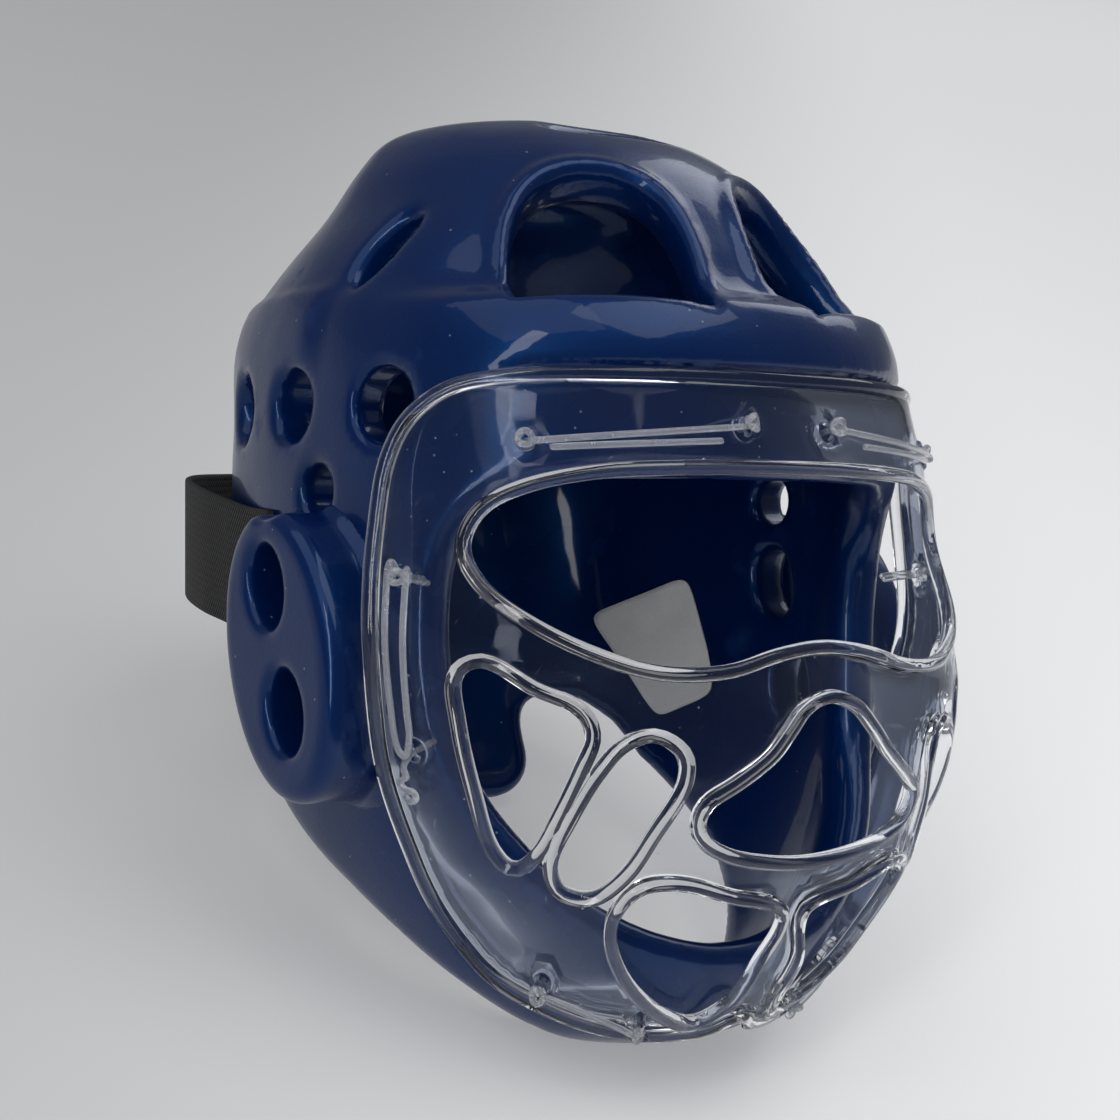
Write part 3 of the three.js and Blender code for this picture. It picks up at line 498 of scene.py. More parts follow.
class Foam:
    """The dipped foam as distances, negative inside, in worn millimetres."""

    def __init__(self):
        self.skin = shell_skin()
        z_up = (0, 0, 1)
        arch = d_outline()
        self.holes = []
        self.rims = []
        for side in (-1, 1):
            for turn, up, wide in SIDE_VENTS:
                at = shell_at(side * turn, up * CROWN_HEIGHT)
                out = (at[0], at[1] - SHELL_CENTRE, 0)
                wide *= SIDE_VENT_DIAMETER
                self.add_hole(oval(wide, wide), at, out, z_up, VENT_ROUNDING)
            at = shell_at(side * SLOT["turn"], SLOT["up"] * CROWN_HEIGHT)
            mirror = (side, 1, 1)
            aim, along = np.multiply(SLOT["aim"], mirror), np.multiply(SLOT["along"], mirror)
            self.add_hole(oval(SLOT_WIDTH, SLOT_LENGTH), at, aim, along, SLOT_ROUNDING)
            at = shell_at(side * D_VENT["turn"], D_VENT["up"] * CROWN_HEIGHT)
            aim = np.multiply(D_VENT["aim"], mirror)
            vent = extruded(lambda q: polygon_distance(q, arch), at, aim, z_up)
            self.holes.append((vent, at, D_VENT_REACH, D_VENT_ROUNDING))
            self.rims.append((vent, at))
            self.ear_holes(side)
        crown = np.array((0, -TOP_VENT_PLACE * FRONT_REACH, CROWN_HEIGHT))
        top = oval(TOP_VENT_LENGTH, TOP_VENT_WIDTH)
        self.add_hole(top, crown, z_up, (0, 1, 0), TOP_VENT_ROUNDING)
        self.face = outline(FACE_OPENING, CHIN_DEPTH)
        profile = [(back * BACK_REACH, up * CHIN_DEPTH) for back, up in LOWER_EDGE]
        under = [(profile[-1][0], BELOW), (profile[0][0], BELOW)]
        self.profile = np.array(profile + under)
        self.seat = shield_seat_field()

    def add_hole(self, shape, at, aim, up, rounding):
        reach = 40.0
        self.holes.append((extruded(shape, at, aim, up), at, reach, rounding))

    def ear_holes(self, side):
        lean = (0, math.sin(EAR_CUP_LEAN), math.cos(EAR_CUP_LEAN))
        for place in EAR_HOLE_PLACES:
            at = np.array((side * EAR_CUP_FACE, EAR_CUP_BACK, EAR_CUP_UP), float)
            at += np.array(lean) * place * EAR_HOLE_SPACING
            shape = oval(EAR_HOLE_WIDTH, EAR_HOLE_LENGTH)
            self.add_hole(shape, at, (side, 0, 0), lean, VENT_ROUNDING)

    def relief(self, p):
        """How far the skin stands proud: the forehead band and what lies below the rear crease."""
        turn = np.abs(np.degrees(np.arctan2(p[:, 0], SHELL_CENTRE - p[:, 1])))
        z = p[:, 2]
        ledge = 1 - smoothstep(z, BAND_TOP - BAND_LEDGE, BAND_TOP)
        ahead = 1 - smoothstep(turn, BAND_TURN, BAND_END)
        lift = BAND_LIFT * ledge * smoothstep(z, BAND_FOOT, BAND_FULL) * ahead
        fade = smoothstep(turn, *CREASE_TURNS) * smoothstep(z, *CREASE_FADE)
        lift += CREASE_DEPTH * (1 - smoothstep(z, *CREASE_HEIGHTS)) * fade
        return lift

    def vent_rims(self, p):
        """A rounded lip round each large vent, fading into the band below it."""
        lift = np.zeros(len(p))
        for vent, at in self.rims:
            near = ((p - at) ** 2).sum(1) < D_RIM_REACH**2
            if near.any():
                d = vent(p[near])
                bead = np.clip(1 - ((d - D_RIM_PLACE) / D_RIM_WIDTH) ** 2, 0, 1) ** 1.5
                above = smoothstep(p[near, 2], BAND_TOP - 8, BAND_TOP + 3)
                lift[near] = np.maximum(lift[near], D_RIM_RISE * bead * above)
        return lift

    def cut(self, f, p):
        """Takes the vents, slots and ear holes out of a body."""
        for hole, at, reach, rounding in self.holes:
            near = (((p - at) ** 2).sum(1) < reach**2) & (f < rounding)
            if near.any():
                f[near] = smooth_max(f[near], -hole(p[near]), rounding)
        return f

    def shell(self, p):
        """The shell: one wall of foam, open in front and below, with every cut through it."""
        skin = self.skin(p)
        outer = skin - self.relief(p) - self.vent_rims(p)
        f = smooth_max(outer, -(skin + FOAM), SKIN_ROUNDING)
        live = f < EDGE_ROUNDING
        q = p[live]
        part = f[live]
        turn = np.degrees(np.arctan2(q[:, 0], SHELL_CENTRE - q[:, 1]))
        front = np.abs(turn) < 80
        face_radius = 95.0
        scale = np.radians(1) * face_radius
        flat = np.stack([turn[front] * scale, q[front, 2]], -1)
        hole = polygon_distance(flat, self.face * (scale, 1))
        part[front] = smooth_max(part[front], -hole, EDGE_ROUNDING)
        below = polygon_distance(q[:, 1:], self.profile)
        lobe_x = np.abs(q[:, 0]) - (LOBE_HALF_WIDTH - LOBE_CORNER)
        lobe_z = -q[:, 2] - (LOBE_DEPTH - LOBE_CORNER)
        corner = np.hypot(np.maximum(lobe_x, 0), np.maximum(lobe_z, 0))
        lobe = corner + np.minimum(np.maximum(lobe_x, lobe_z), 0) - LOBE_CORNER
        far_off = 60.0
        lobe = np.where(q[:, 1] > 0, lobe, far_off)
        kept = smooth_min(-below, lobe, LOBE_BLEND)
        part = smooth_max(part, kept, EDGE_ROUNDING)
        part = self.cut(part, q)
        part = smooth_max(part, -self.seat(q), 2.0)
        f[live] = part
        return f

    def ear_cup(self, side):
        """The distance to one ear pad, with its hidden edge sunk into the shell."""
        lean = np.array((0, math.sin(EAR_CUP_LEAN), math.cos(EAR_CUP_LEAN)))
        at = np.array((side * EAR_CUP_FACE, EAR_CUP_BACK, EAR_CUP_UP), float)
        wall = extruded(oval(EAR_CUP_WIDTH, EAR_CUP_LENGTH), at, (side, 0, 0), lean)

        def distance(p):
            skin = self.skin(p)
            flare = EAR_CUP_FLARE * np.clip(1 - skin / EAR_CUP_FLARE_HEIGHT, 0, 1) ** 2
            f = smooth_max(wall(p) - flare, side * p[:, 0] - EAR_CUP_FACE, SKIN_ROUNDING)
            f = smooth_max(f, -EAR_CUP_SINK - skin, 1.2)
            f = smooth_max(f, -self.seat(p), 2.5)
            return self.cut(f, p)

        return distance


def shield_seat_field():
    """The room that the shield takes out of the foam, negative inside it."""
    edge = outline(SHIELD_EDGE, SHIELD_DEPTH)
    scale = math.radians(1) * (SHIELD_REACH + SHELL_CENTRE)

    def distance(p):
        out = np.full(len(p), 50.0)
        turn = np.arctan2(p[:, 0], SHELL_CENTRE - p[:, 1])
        near = (np.abs(turn) < 1.4) & (p[:, 2] < SHIELD_TOP + 8)
        q, t = p[near], turn[near]
        r = np.hypot(q[:, 0], q[:, 1] - SHELL_CENTRE)
        s = shield_points(t, q[:, 2])
        reach = np.hypot(s[:, 0], s[:, 1] - SHELL_CENTRE)
        behind = reach - SHIELD_SHEET - 0.4 - r
        flat = np.stack([np.degrees(t) * scale, q[:, 2]], -1)
        out[near] = smooth_max(behind, polygon_distance(flat, edge * (scale, 1)) - 0.6, 1.5)
        return out

    return distance


def surface_net(field, low, high, step):
    """Vertices and quads of the surface where a field crosses zero, in even cells."""
    low = np.array(low, float)
    shape = np.ceil((np.array(high) - low) / step).astype(int) + 1
    values = field(grid_points(low, shape, step)).reshape(shape)
    cells = np.array(shape) - 1
    total = np.zeros((*cells, 3))
    count = np.zeros(cells)
    quads = []
    for axis in range(3):
        a = np.moveaxis(values, axis, 0)
        first, second = a[:-1], a[1:]
        cross = np.moveaxis((first < 0) != (second < 0), 0, axis)
        i = np.argwhere(cross)
        others = [k for k in range(3) if k != axis]
        i = i[np.all((i[:, others] > 0) & (i[:, others] < cells[others]), axis=1)]
        j = i.copy()
        j[:, axis] += 1
        va, vb = values[tuple(i.T)], values[tuple(j.T)]
        place = low + step * (i + (j - i) * (va / (va - vb))[:, None])
        ring = []
        for du, dv in ((0, 0), (-1, 0), (-1, -1), (0, -1)):
            c = i.copy()
            c[:, others[0]] += du
            c[:, others[1]] += dv
            np.add.at(total, tuple(c.T), place)
            np.add.at(count, tuple(c.T), 1)
            ring.append(np.ravel_multi_index(tuple(c.T), cells))
        quad = np.stack(ring, -1)
        flip = (va < 0) == (axis == 1)
        quad[flip] = quad[flip][:, ::-1]
        quads.append(quad)
    quads = np.concatenate(quads)
    used, quads = np.unique(quads, return_inverse=True)
    points = total.reshape(-1, 3)[used] / count.reshape(-1)[used][:, None]
    return points, quads.reshape(-1, 4)


def settle(points, quads, field, rounds=3):
    """Evens out a net's points and draws them onto the field's true zero."""
    edges = np.unique(np.sort(np.concatenate([quads[:, [k, (k + 1) % 4]] for k in range(4)]), 1), axis=0)
    a = np.concatenate([edges[:, 0], edges[:, 1]])
    b = np.concatenate([edges[:, 1], edges[:, 0]])
    degree = np.bincount(a, minlength=len(points))[:, None]
    h = 0.35
    for k in range(rounds):
        mean = np.stack([np.bincount(a, points[b, i], len(points)) for i in range(3)], -1) / degree
        if k < rounds - 1:
            points = points + 0.5 * (mean - points)
        for _ in range(2 if k == rounds - 1 else 1):
            f = field(points)
            g = np.empty_like(points)
            for i in range(3):
                shift = np.zeros(3)
                shift[i] = h
                g[:, i] = (field(points + shift) - field(points - shift)) / (2 * h)
            move = -f[:, None] * g / np.maximum((g * g).sum(1), 0.2)[:, None]
            length = np.linalg.norm(move, axis=1, keepdims=True)
            points = points + move * np.minimum(1, 1.5 / np.maximum(length, 1e-9))
    return points


def to_row(points):
    """Worn millimetres to the row frame at rest, in metres."""
    p = np.asarray(points, float)
    c, s = math.cos(REST_LEAN), math.sin(REST_LEAN)
    y = p[..., 1] * c + p[..., 2] * s + REST_SHIFT
    z = p[..., 2] * c - p[..., 1] * s + REST_RISE
    return np.stack([p[..., 0], y, z], -1) / 1000


def placed(name, data):
    """A new object of the scene."""
    item = bpy.data.objects.new(name, data)
    bpy.context.scene.collection.objects.link(item)
    return item


def add_mesh(name, points, faces, material):
    """A mesh object of the headgear from worn points; faces may be of any length."""
    mesh = bpy.data.meshes.new(name)
    mesh.from_pydata(to_row(points).tolist(), [], [list(map(int, f)) for f in faces])
    mesh.validate()
    mesh.update()
    mesh.shade_smooth()
    mesh.materials.append(material)
    return placed(name, mesh)


def pressed(points):
    """Foam laid flat where it rests on the ground."""
    c, s = math.cos(REST_LEAN), math.sin(REST_LEAN)
    height = points[:, 2] * c - points[:, 1] * s + REST_RISE
    sunk = np.maximum(0.15 - height, 0)
    points[:, 2] += sunk * c
    points[:, 1] -= sunk * s
    return points


def add_foam(name, node, field, low, high, step, material):
    points, quads = surface_net(field, low, high, step)
    points = pressed(settle(points, quads, field))
    piece = add_mesh(name, points, quads, material)
    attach(piece, "root")
    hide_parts(node)


# Profile of a moulded rim: distance in from the edge, and how far the outer and the inner
# face stand from the shield's outside there
RIM_PROFILE = [
    (0.0, -0.35, -1.55), (0.35, 0.35, -2.35), (0.95, 0.85, -3.0), (1.75, 1.1, -3.35),
    (2.6, 0.95, -3.1), (3.3, 0.45, -2.75), (3.9, 0.0, -2.5),
]
# A moulded boss round each lace hole, by distance from the hole's edge
BOSS_PROFILE = [
    (0.0, 0.2, -2.3), (0.3, 0.85, -2.7), (0.9, 1.25, -2.9), (1.6, 0.95, -2.75),
    (2.3, 0.0, -2.5),
]
# How near a boss a rim's own rings stop
BOSS_CLEAR = 2.2


def ring_points(outline_2d, distance):
    """An outline moved by a distance along its own normals, outward when positive."""
    before, after = np.roll(outline_2d, 1, axis=0), np.roll(outline_2d, -1, axis=0)
    along = after - before
    along /= np.linalg.norm(along, axis=1, keepdims=True)
    area = np.sum(outline_2d[:, 0] * after[:, 1] - after[:, 0] * outline_2d[:, 1])
    side = 1 if area > 0 else -1
    return outline_2d + side * distance * np.stack([along[:, 1], -along[:, 0]], -1)


def evenly(outline_2d, spacing):
    """A closed outline with its points set at even distances."""
    closed = np.vstack([outline_2d, outline_2d[:1]])
    run = np.concatenate([[0], np.cumsum(np.linalg.norm(np.diff(closed, axis=0), axis=1))])
    at = np.linspace(0, run[-1], max(int(run[-1] / spacing), 12), endpoint=False)
    return np.stack([np.interp(at, run, closed[:, i]) for i in range(2)], -1)


def circle(centre, radius, count=20):
    a = np.linspace(0, 2 * math.pi, count, endpoint=False)
    return np.array(centre) + radius * np.stack([np.cos(a), np.sin(a)], -1)


class Shield:
    """The moulded sheet, laid out flat as arc length and height, then bent to its form."""

    scale = math.radians(1) * 100.0

    def __init__(self):
        def flat(table):
            return evenly(outline(table, SHIELD_DEPTH) * (self.scale, 1), 1.7)

        self.edge = flat(SHIELD_EDGE)
        self.openings = [flat(EYE_OPENING), flat(MOUTH_OPENING)]
        for table in (CHEEK_OPENING, SLANTED_OPENING, JAW_OPENING):
            one = flat(table)
            self.openings += [one, one * (-1, 1)]
        self.holes = []
        for _, *ends in LACES:
            for turn, up in (ends[:2], ends[2:]):
                for side in (-1, 1):
                    self.holes.append((side * turn * self.scale, up * SHIELD_DEPTH))

    def build(self):
        """The sheet's points and faces, and how far each point lies in from an edge."""
        loops = [self.edge] + self.openings + [circle(h, LACE_HOLE / 2) for h in self.holes]
        points, edges = [], []

        def add_loop(loop):
            first = len(points)
            points.extend(loop.tolist())
            n = len(loop)
            edges.extend((first + k, first + (k + 1) % n) for k in range(n))

        for loop in loops:
            add_loop(loop)
        rings = [(ring_points(loop, -inward if loop is self.edge else inward), inward, True)
                 for inward, _, _ in RIM_PROFILE[1:] for loop in [self.edge] + self.openings]
        rings += [(circle(hole, LACE_HOLE / 2 + out), out, False)
                  for out, _, _ in BOSS_PROFILE[1:] for hole in self.holes]
        for ring, wanted, at_rim in rings:
            rim, boss = self.distances(ring)
            own = rim if at_rim else boss
            other = boss if at_rim else rim
            kept = (np.abs(own - wanted) < 0.12) & (other > (BOSS_CLEAR if at_rim else 0.2))
            place = len(points) + np.cumsum(kept) - 1
            points.extend(ring[kept].tolist())
            following = np.roll(kept, -1)
            follow_place = np.roll(place, -1)
            edges.extend((int(i), int(j)) for i, j in
                         zip(place[kept & following], follow_place[kept & following]))
        low, high = self.edge.min(0), self.edge.max(0)
        axes = [np.arange(low[i], high[i], SHIELD_GRID) for i in range(2)]
        grid = np.stack(np.meshgrid(*axes), -1).reshape(-1, 2)
        grid[:, 0] += (np.round((grid[:, 1] - low[1]) / SHIELD_GRID) % 2) * SHIELD_GRID / 2
        rim, boss = self.distances(grid)
        clear = (rim > RIM_PROFILE[-1][0] + 0.9) & (boss > BOSS_PROFILE[-1][0] + 0.9)
        points.extend(grid[clear].tolist())
        flat, _, faces, *_ = delaunay_2d_cdt([Vector(p) for p in points], edges, [], 0, 0.05)
        flat = np.array([tuple(p) for p in flat])
        faces = np.array([f for f in faces if len(f) == 3])
        middle = flat[faces].mean(1)
        rim, boss = self.distances(middle)
        faces = faces[(rim > 0) & (boss > 0)]
        return self.bent(flat, faces)

    def distances(self, p):
        """Distance into the sheet from its edges, and from the lace holes."""
        rim = -polygon_distance(p, self.edge)
        for loop in self.openings:
            rim = np.minimum(rim, polygon_distance(p, loop))
        boss = np.full(len(p), np.inf)
        for hole in self.holes:
            boss = np.minimum(boss, np.hypot(*(p - hole).T) - LACE_HOLE / 2)
        return rim, boss

    def bent(self, flat, faces):
        """Both faces of the sheet in their true places, joined round every edge."""
        rim, boss = self.distances(flat)
        d, out, back = np.array(RIM_PROFILE).T
        outer = np.interp(rim, d, out)
        inner = np.interp(rim, d, back)
        d, out, back = np.array(BOSS_PROFILE).T
        near = boss < d[-1]
        outer = np.where(near, np.interp(boss, d, out), outer)
        inner = np.where(near, np.interp(boss, d, back), inner)
        turn = np.radians(flat[:, 0] / self.scale)
        outside = shield_moved(turn, flat[:, 1], outer)
        inside = shield_moved(turn, flat[:, 1], inner)
        n = len(flat)
        a, b, c = faces.T
        first = np.cross(outside[b] - outside[a], outside[c] - outside[a])
        away = outside[a] - np.array((0, SHELL_CENTRE, 0))
        flip = (first[:, :2] * away[:, :2]).sum(1) < 0
        faces[flip] = faces[flip][:, ::-1]
        sides = np.concatenate([faces[:, [k, (k + 1) % 3]] for k in range(3)])
        known = {tuple(s) for s in sides.tolist()}
        walls = [(j, i, i + n, j + n) for i, j in known if (j, i) not in known]
        all_faces = faces.tolist() + (faces[:, ::-1] + n).tolist() + walls
        used = np.unique(np.concatenate([np.ravel(f) for f in (faces, faces + n)]))
        place = np.zeros(2 * n, int)
        place[used] = np.arange(len(used))
        points = np.concatenate([outside, inside])[used]
        depth = np.concatenate([rim, rim])[used]
        return points, [[int(place[k]) for k in f] for f in all_faces], depth


class Looks:
    """A node material built round one Principled shader, placed in the row frame."""

    def __init__(self, name, **values):
        self.material = bpy.data.materials.new(name)
        self.material.use_nodes = True
        self.tree = self.material.node_tree
        self.shader = self.tree.nodes["Principled BSDF"]
        self.place = self.node("TexCoord").outputs["Object"]
        for name, value in values.items():
            self.shader.inputs[name.replace("_", " ")].default_value = value

    def node(self, kind):
        return self.tree.nodes.new(f"ShaderNode{kind}")

    def drive(self, **values):
        """Links values to the shader's sockets by name."""
        for name, value in values.items():
            self.put(value, self.shader.inputs[name.replace("_", " ")])

    def put(self, value, socket):
        if hasattr(value, "is_linked"):
            self.tree.links.new(value, socket)
        else:
            socket.default_value = value

    def noise(self, scale, detail=2.0, place=None):
        node = self.node("TexNoise")
        self.put(self.place if place is None else place, node.inputs["Vector"])
        node.inputs["Scale"].default_value = scale
        node.inputs["Detail"].default_value = detail
        return node.outputs["Fac"]

    def math(self, operation, first, second=0.0):
        node = self.node("Math")
        node.operation = operation
        self.put(first, node.inputs[0])
        self.put(second, node.inputs[1])
        return node.outputs["Value"]

    def ramp(self, value, low, high, start=0.0, end=1.0):
        node = self.node("MapRange")
        node.interpolation_type = "SMOOTHSTEP"
        for socket, number in zip(node.inputs[1:5], (low, high, start, end)):
            socket.default_value = number
        self.put(value, node.inputs[0])
        return node.outputs[0]

    def mixed(self, share, first, second):
        """A colour between two."""
        node = self.node("Mix")
        node.data_type = "RGBA"
        self.put(share, node.inputs["Factor"])
        self.put(first, node.inputs[6])
        self.put(second, node.inputs[7])
        return node.outputs[2]

    def bump(self, height, distance, before=None):
        node = self.node("Bump")
        node.inputs["Distance"].default_value = distance
        self.put(height, node.inputs["Height"])
        if before is not None:
            self.put(before, node.inputs["Normal"])
        return node.outputs["Normal"]

    def specks(self, scale, size, share):
        """Small round marks on a share of the cells of a loose grid."""
        node = self.node("TexVoronoi")
        self.put(self.place, node.inputs["Vector"])
        node.inputs["Scale"].default_value = scale
        near = self.ramp(node.outputs["Distance"], size * 0.4, size, 1.0, 0.0)
        parts = self.node("SeparateColor")
        self.put(node.outputs["Color"], parts.inputs[0])
        chosen = self.math("LESS_THAN", parts.outputs[0], share)
        return self.math("MULTIPLY", near, chosen)


def vinyl_looks():
    """Glossy dipped vinyl: a slightly wavy skin with fine orange peel, dust and dull patches."""
    look = Looks("blue_vinyl", Coat_Weight=0.4, Coat_Roughness=0.05, Specular_IOR_Level=0.5,
                 Specular_Tint=(0.05, 0.34, 1.0, 1))
    patches = look.noise(11, 1)
    colour = look.mixed(patches, (0.0002, 0.0085, 0.058, 1), (0.0004, 0.0135, 0.088, 1))
    scuffs = look.ramp(look.noise(70, 3), 0.62, 0.8, 0.0, 0.35)
    colour = look.mixed(scuffs, colour, (0.012, 0.04, 0.16, 1))
    dust = look.specks(330, 0.16, 0.035)
    colour = look.mixed(look.math("MULTIPLY", dust, 0.6), colour, (0.3, 0.33, 0.4, 1))
    dull = look.ramp(look.noise(28, 2), 0.3, 0.75, 0.24, 0.42)
    roughness = look.math("ADD", dull, scuffs)
    wavy = look.bump(look.noise(42, 1), 0.00045)
    peel = look.bump(look.noise(760, 2), 0.00006, wavy)
    raised = look.bump(dust, 0.0001, peel)
    look.drive(Base_Color=colour, Roughness=roughness, Normal=raised, Coat_Normal=wavy)
    return look.material


def sheet_looks():
    """Clear moulded sheet: what is behind it, with its gloss, faint haze, specks and scratches."""
    look = Looks("clear_sheet", Metallic=0.7, Base_Color=(0.6, 0.65, 0.76, 1))
    smears = look.noise(34, 2)
    ripple = look.bump(look.noise(38, 1), 0.0003)
    look.drive(Roughness=look.ramp(smears, 0.35, 0.8, 0.02, 0.14), Normal=ripple)
    gloss = look.node("Fresnel")
    gloss.inputs["IOR"].default_value = 1.27
    look.put(ripple, gloss.inputs["Normal"])
    marks = look.math("MULTIPLY", look.specks(420, 0.17, 0.04), 0.75)
    stretched = look.node("Mapping")
    stretched.inputs["Rotation"].default_value = (0.3, 0.5, 0.4)
    stretched.inputs["Scale"].default_value = (18, 420, 60)
    look.put(look.place, stretched.inputs["Vector"])
    lines = look.ramp(look.noise(1.6, 2, stretched.outputs[0]), 0.72, 0.78, 0.0, 0.18)
    haze = look.ramp(smears, 0.35, 0.85, 0.0, 0.014)
    share = look.math("ADD", look.math("ADD", gloss.outputs[0], haze), look.math("ADD", marks, lines))
    clear = look.node("BsdfTransparent")
    clear.inputs[0].default_value = (0.965, 0.97, 0.98, 1)
    mix = look.node("MixShader")
    look.put(look.math("MINIMUM", share, 1.0), mix.inputs[0])
    look.put(clear.outputs[0], mix.inputs[1])
    look.put(look.shader.outputs[0], mix.inputs[2])
    look.put(mix.outputs[0], look.tree.nodes["Material Output"].inputs["Surface"])
    return look.material


def rim_looks():
    """The thick rounded rims of the sheet, clear enough to bend what is behind them."""
    look = Looks("clear_rim", Transmission_Weight=1.0, IOR=1.49)
    look.drive(
        Base_Color=look.mixed(look.noise(25, 2), (0.95, 0.965, 0.985, 1), (0.99, 0.995, 1, 1)),
        Roughness=look.ramp(look.noise(60, 4), 0.35, 0.8, 0.005, 0.09),
        Normal=look.bump(look.noise(120, 2), 0.00012),
    )
    return look.material


def lace_looks():
    """Soft clear cord, a little milky."""
    look = Looks("clear_cord", Transmission_Weight=0.8, IOR=1.46)
    look.drive(
        Base_Color=look.mixed(look.noise(300, 2), (0.84, 0.87, 0.92, 1), (0.97, 0.98, 1, 1)),
        Roughness=look.ramp(look.noise(500, 3), 0.3, 0.8, 0.06, 0.3),
        Normal=look.bump(look.noise(900, 2), 0.00008),
    )
    return look.material


def woven(look, across, along):
    """Height of a plain weave, from the piece's own lengths in its UV map, in metres."""
    lengths = look.node("UVMap")
    parts = look.node("SeparateXYZ")
    look.put(lengths.outputs[0], parts.inputs[0])
    waves = []
    for output, pitch in zip(parts.outputs, (along, across)):
        waves.append(look.math("SINE", look.math("MULTIPLY", output, 2 * math.pi / pitch)))
    weave = look.math("MULTIPLY", *waves)
    ribs = look.math("SINE", look.math("MULTIPLY", parts.outputs[1], math.pi / across))
    ribs = look.math("ABSOLUTE", ribs)
    return look.math("ADD", look.math("MULTIPLY", weave, 0.5), ribs)


def strap_looks():
    """Black elastic webbing: ribs along it, a plain weave and a soft sheen."""
    look = Looks("black_webbing", Sheen_Weight=0.06, Sheen_Roughness=0.5, Specular_IOR_Level=0.3)
    weave = woven(look, 0.0021, 0.0014)
    fuzz = look.noise(2600, 3)
    shade = look.math("ADD", look.math("MULTIPLY", weave, 0.45), look.math("MULTIPLY", fuzz, 0.4))
    shade = look.math("MINIMUM", shade, 1.0)
    colour = look.mixed(shade, (0.002, 0.002, 0.0022, 1), (0.014, 0.014, 0.015, 1))
    fibres = look.bump(fuzz, 0.0001, look.bump(weave, 0.0003))
    look.drive(Base_Color=colour, Roughness=look.ramp(fuzz, 0.2, 0.8, 0.62, 0.9), Normal=fibres)
    return look.material


def label_looks():
    """Off-white label cloth, blank, with a fine weave and a faint soiling."""
    look = Looks("label_cloth", Sheen_Weight=0.1)
    weave = woven(look, 0.0007, 0.0007)
    soiled = look.ramp(look.noise(60, 4), 0.35, 0.75, 0.0, 0.5)
    colour = look.mixed(soiled, (0.92, 0.92, 0.9, 1), (0.72, 0.72, 0.7, 1))
    threads = look.bump(weave, 0.00012)
    look.drive(Base_Color=colour, Roughness=look.ramp(weave, 0.0, 1.2, 0.85, 0.7), Normal=threads)
    return look.material


def floor_looks():
    """Pale matt floor with painted light: lighter to the right, and glowing faintly in its own colour,
    which lifts its shadows.
    """
    # Painted light: the emission makes the floor glow faintly in its own colour, lifting the shadows on
    # it.
    look = Looks("pale_floor", Roughness=0.85, Specular_IOR_Level=0.1, Emission_Strength=0.45)
    parts = look.node("SeparateXYZ")
    look.put(look.place, parts.inputs[0])
    across = look.math("SUBTRACT", look.math("MULTIPLY", parts.outputs[0], math.cos(VIEW_TURN)),
                       look.math("MULTIPLY", parts.outputs[1], math.sin(VIEW_TURN)))
    # Painted light: the floor's colour grows lighter towards the right across the view, as if more light
    # falls there.
    share = look.ramp(across, -0.28, 0.32)
    colour = look.mixed(share, (0.41, 0.412, 0.416, 1), (0.78, 0.78, 0.784, 1))
    look.drive(Base_Color=colour, Emission_Color=colour)
    return look.material


def ring_faces(rings, count):
    """Faces of a closed body of rings with the same count of points each."""
    faces = [tuple(reversed(range(count)))]
    for i in range(rings - 1):
        for j in range(count):
            a, b = i * count + j, i * count + (j + 1) % count
            faces.append((a, b, b + count, a + count))
    faces.append(tuple(range((rings - 1) * count, rings * count)))
    return faces


def lathe(path, radius, sides=12):
    """A round tube along a path of points, with ends drawn in to round caps."""
    p = np.asarray(path, float)
    tangent = np.gradient(p, axis=0)
    tangent /= np.linalg.norm(tangent, axis=1, keepdims=True)
    normal = unit(np.cross(tangent[0], (0.31, 0.17, 0.93)))
    points = []
    caps = [(-0.9, 0.25), (-0.65, 0.72), (-0.25, 0.96)]
    rings = [(0, back, wide) for back, wide in caps] + [(k, 0, 1) for k in range(len(p))]
    rings += [(len(p) - 1, -back, wide) for back, wide in reversed(caps)]
    angle = np.linspace(0, 2 * math.pi, sides, endpoint=False)
    for k, back, wide in rings:
        normal = unit(normal - tangent[k] * (normal @ tangent[k]))
        binormal = np.cross(tangent[k], normal)
        ring = np.cos(angle)[:, None] * normal + np.sin(angle)[:, None] * binormal
        points.append(p[k] + tangent[k] * back * radius + radius * wide * ring)
    return np.concatenate(points), ring_faces(len(rings), sides)


def on_shield(turn, z, distance):
    """A point off the shield's face, by bearing in degrees, height and distance out."""
    return shield_moved(np.radians(np.array([turn])), np.array([z]), np.array([distance]))[0]


def add_tubes(name, tubes, radius, material):
    """One piece of several tubes."""
    points, faces = [], []
    for path in tubes:
        p, f = lathe(path, radius)
        start = sum(len(q) for q in points)
        points.append(p)
        faces += [[i + start for i in face] for face in f]
    return add_mesh(name, np.concatenate(points), faces, material)


def across_shield(first, last, count, distance):
    """Points over the shield's face from one bearing and height to another."""
    return [on_shield(*(np.add(first, (np.subtract(last, first)) * k)), distance)
            for k in np.linspace(0, 1, count)]


def plunge(turn, z):
    """Points of a lace that comes up through a lace hole out of the foam behind it."""
    return [on_shield(turn, z, d) for d in (-LACE_SINK, -5.0, -1.5)]


def knot(turn, z, size=1.9, distance=1.8):
    """A small overhand curl that stops a lace at its hole."""
    a = np.linspace(0, 2.3 * math.pi, 14)
    degrees_a_mm = 1 / (math.radians(1) * 105)
    return [on_shield(turn + size * math.cos(t) * degrees_a_mm, z + size * math.sin(t),
                      distance + 0.9 * math.sin(1.5 * t)) for t in a]


def forehead_lace(first, last):
    """A strand between two holes with a shorter one below it, and a stopper curl at each hole."""
    main = across_shield(np.add(first, (1.6, -1.0)), np.add(last, (-1.4, -0.6)), 9, 1.7)
    main = plunge(*first) + main + list(reversed(plunge(*last)))
    share = np.add(first, np.subtract(last, first) * 0.18)
    short = across_shield(share - (0, 4.2), np.add(last, (-4.0, -2.2)), 7, 1.4)
    return [wire(main), wire(short), wire(knot(*first)), wire(knot(*last))]


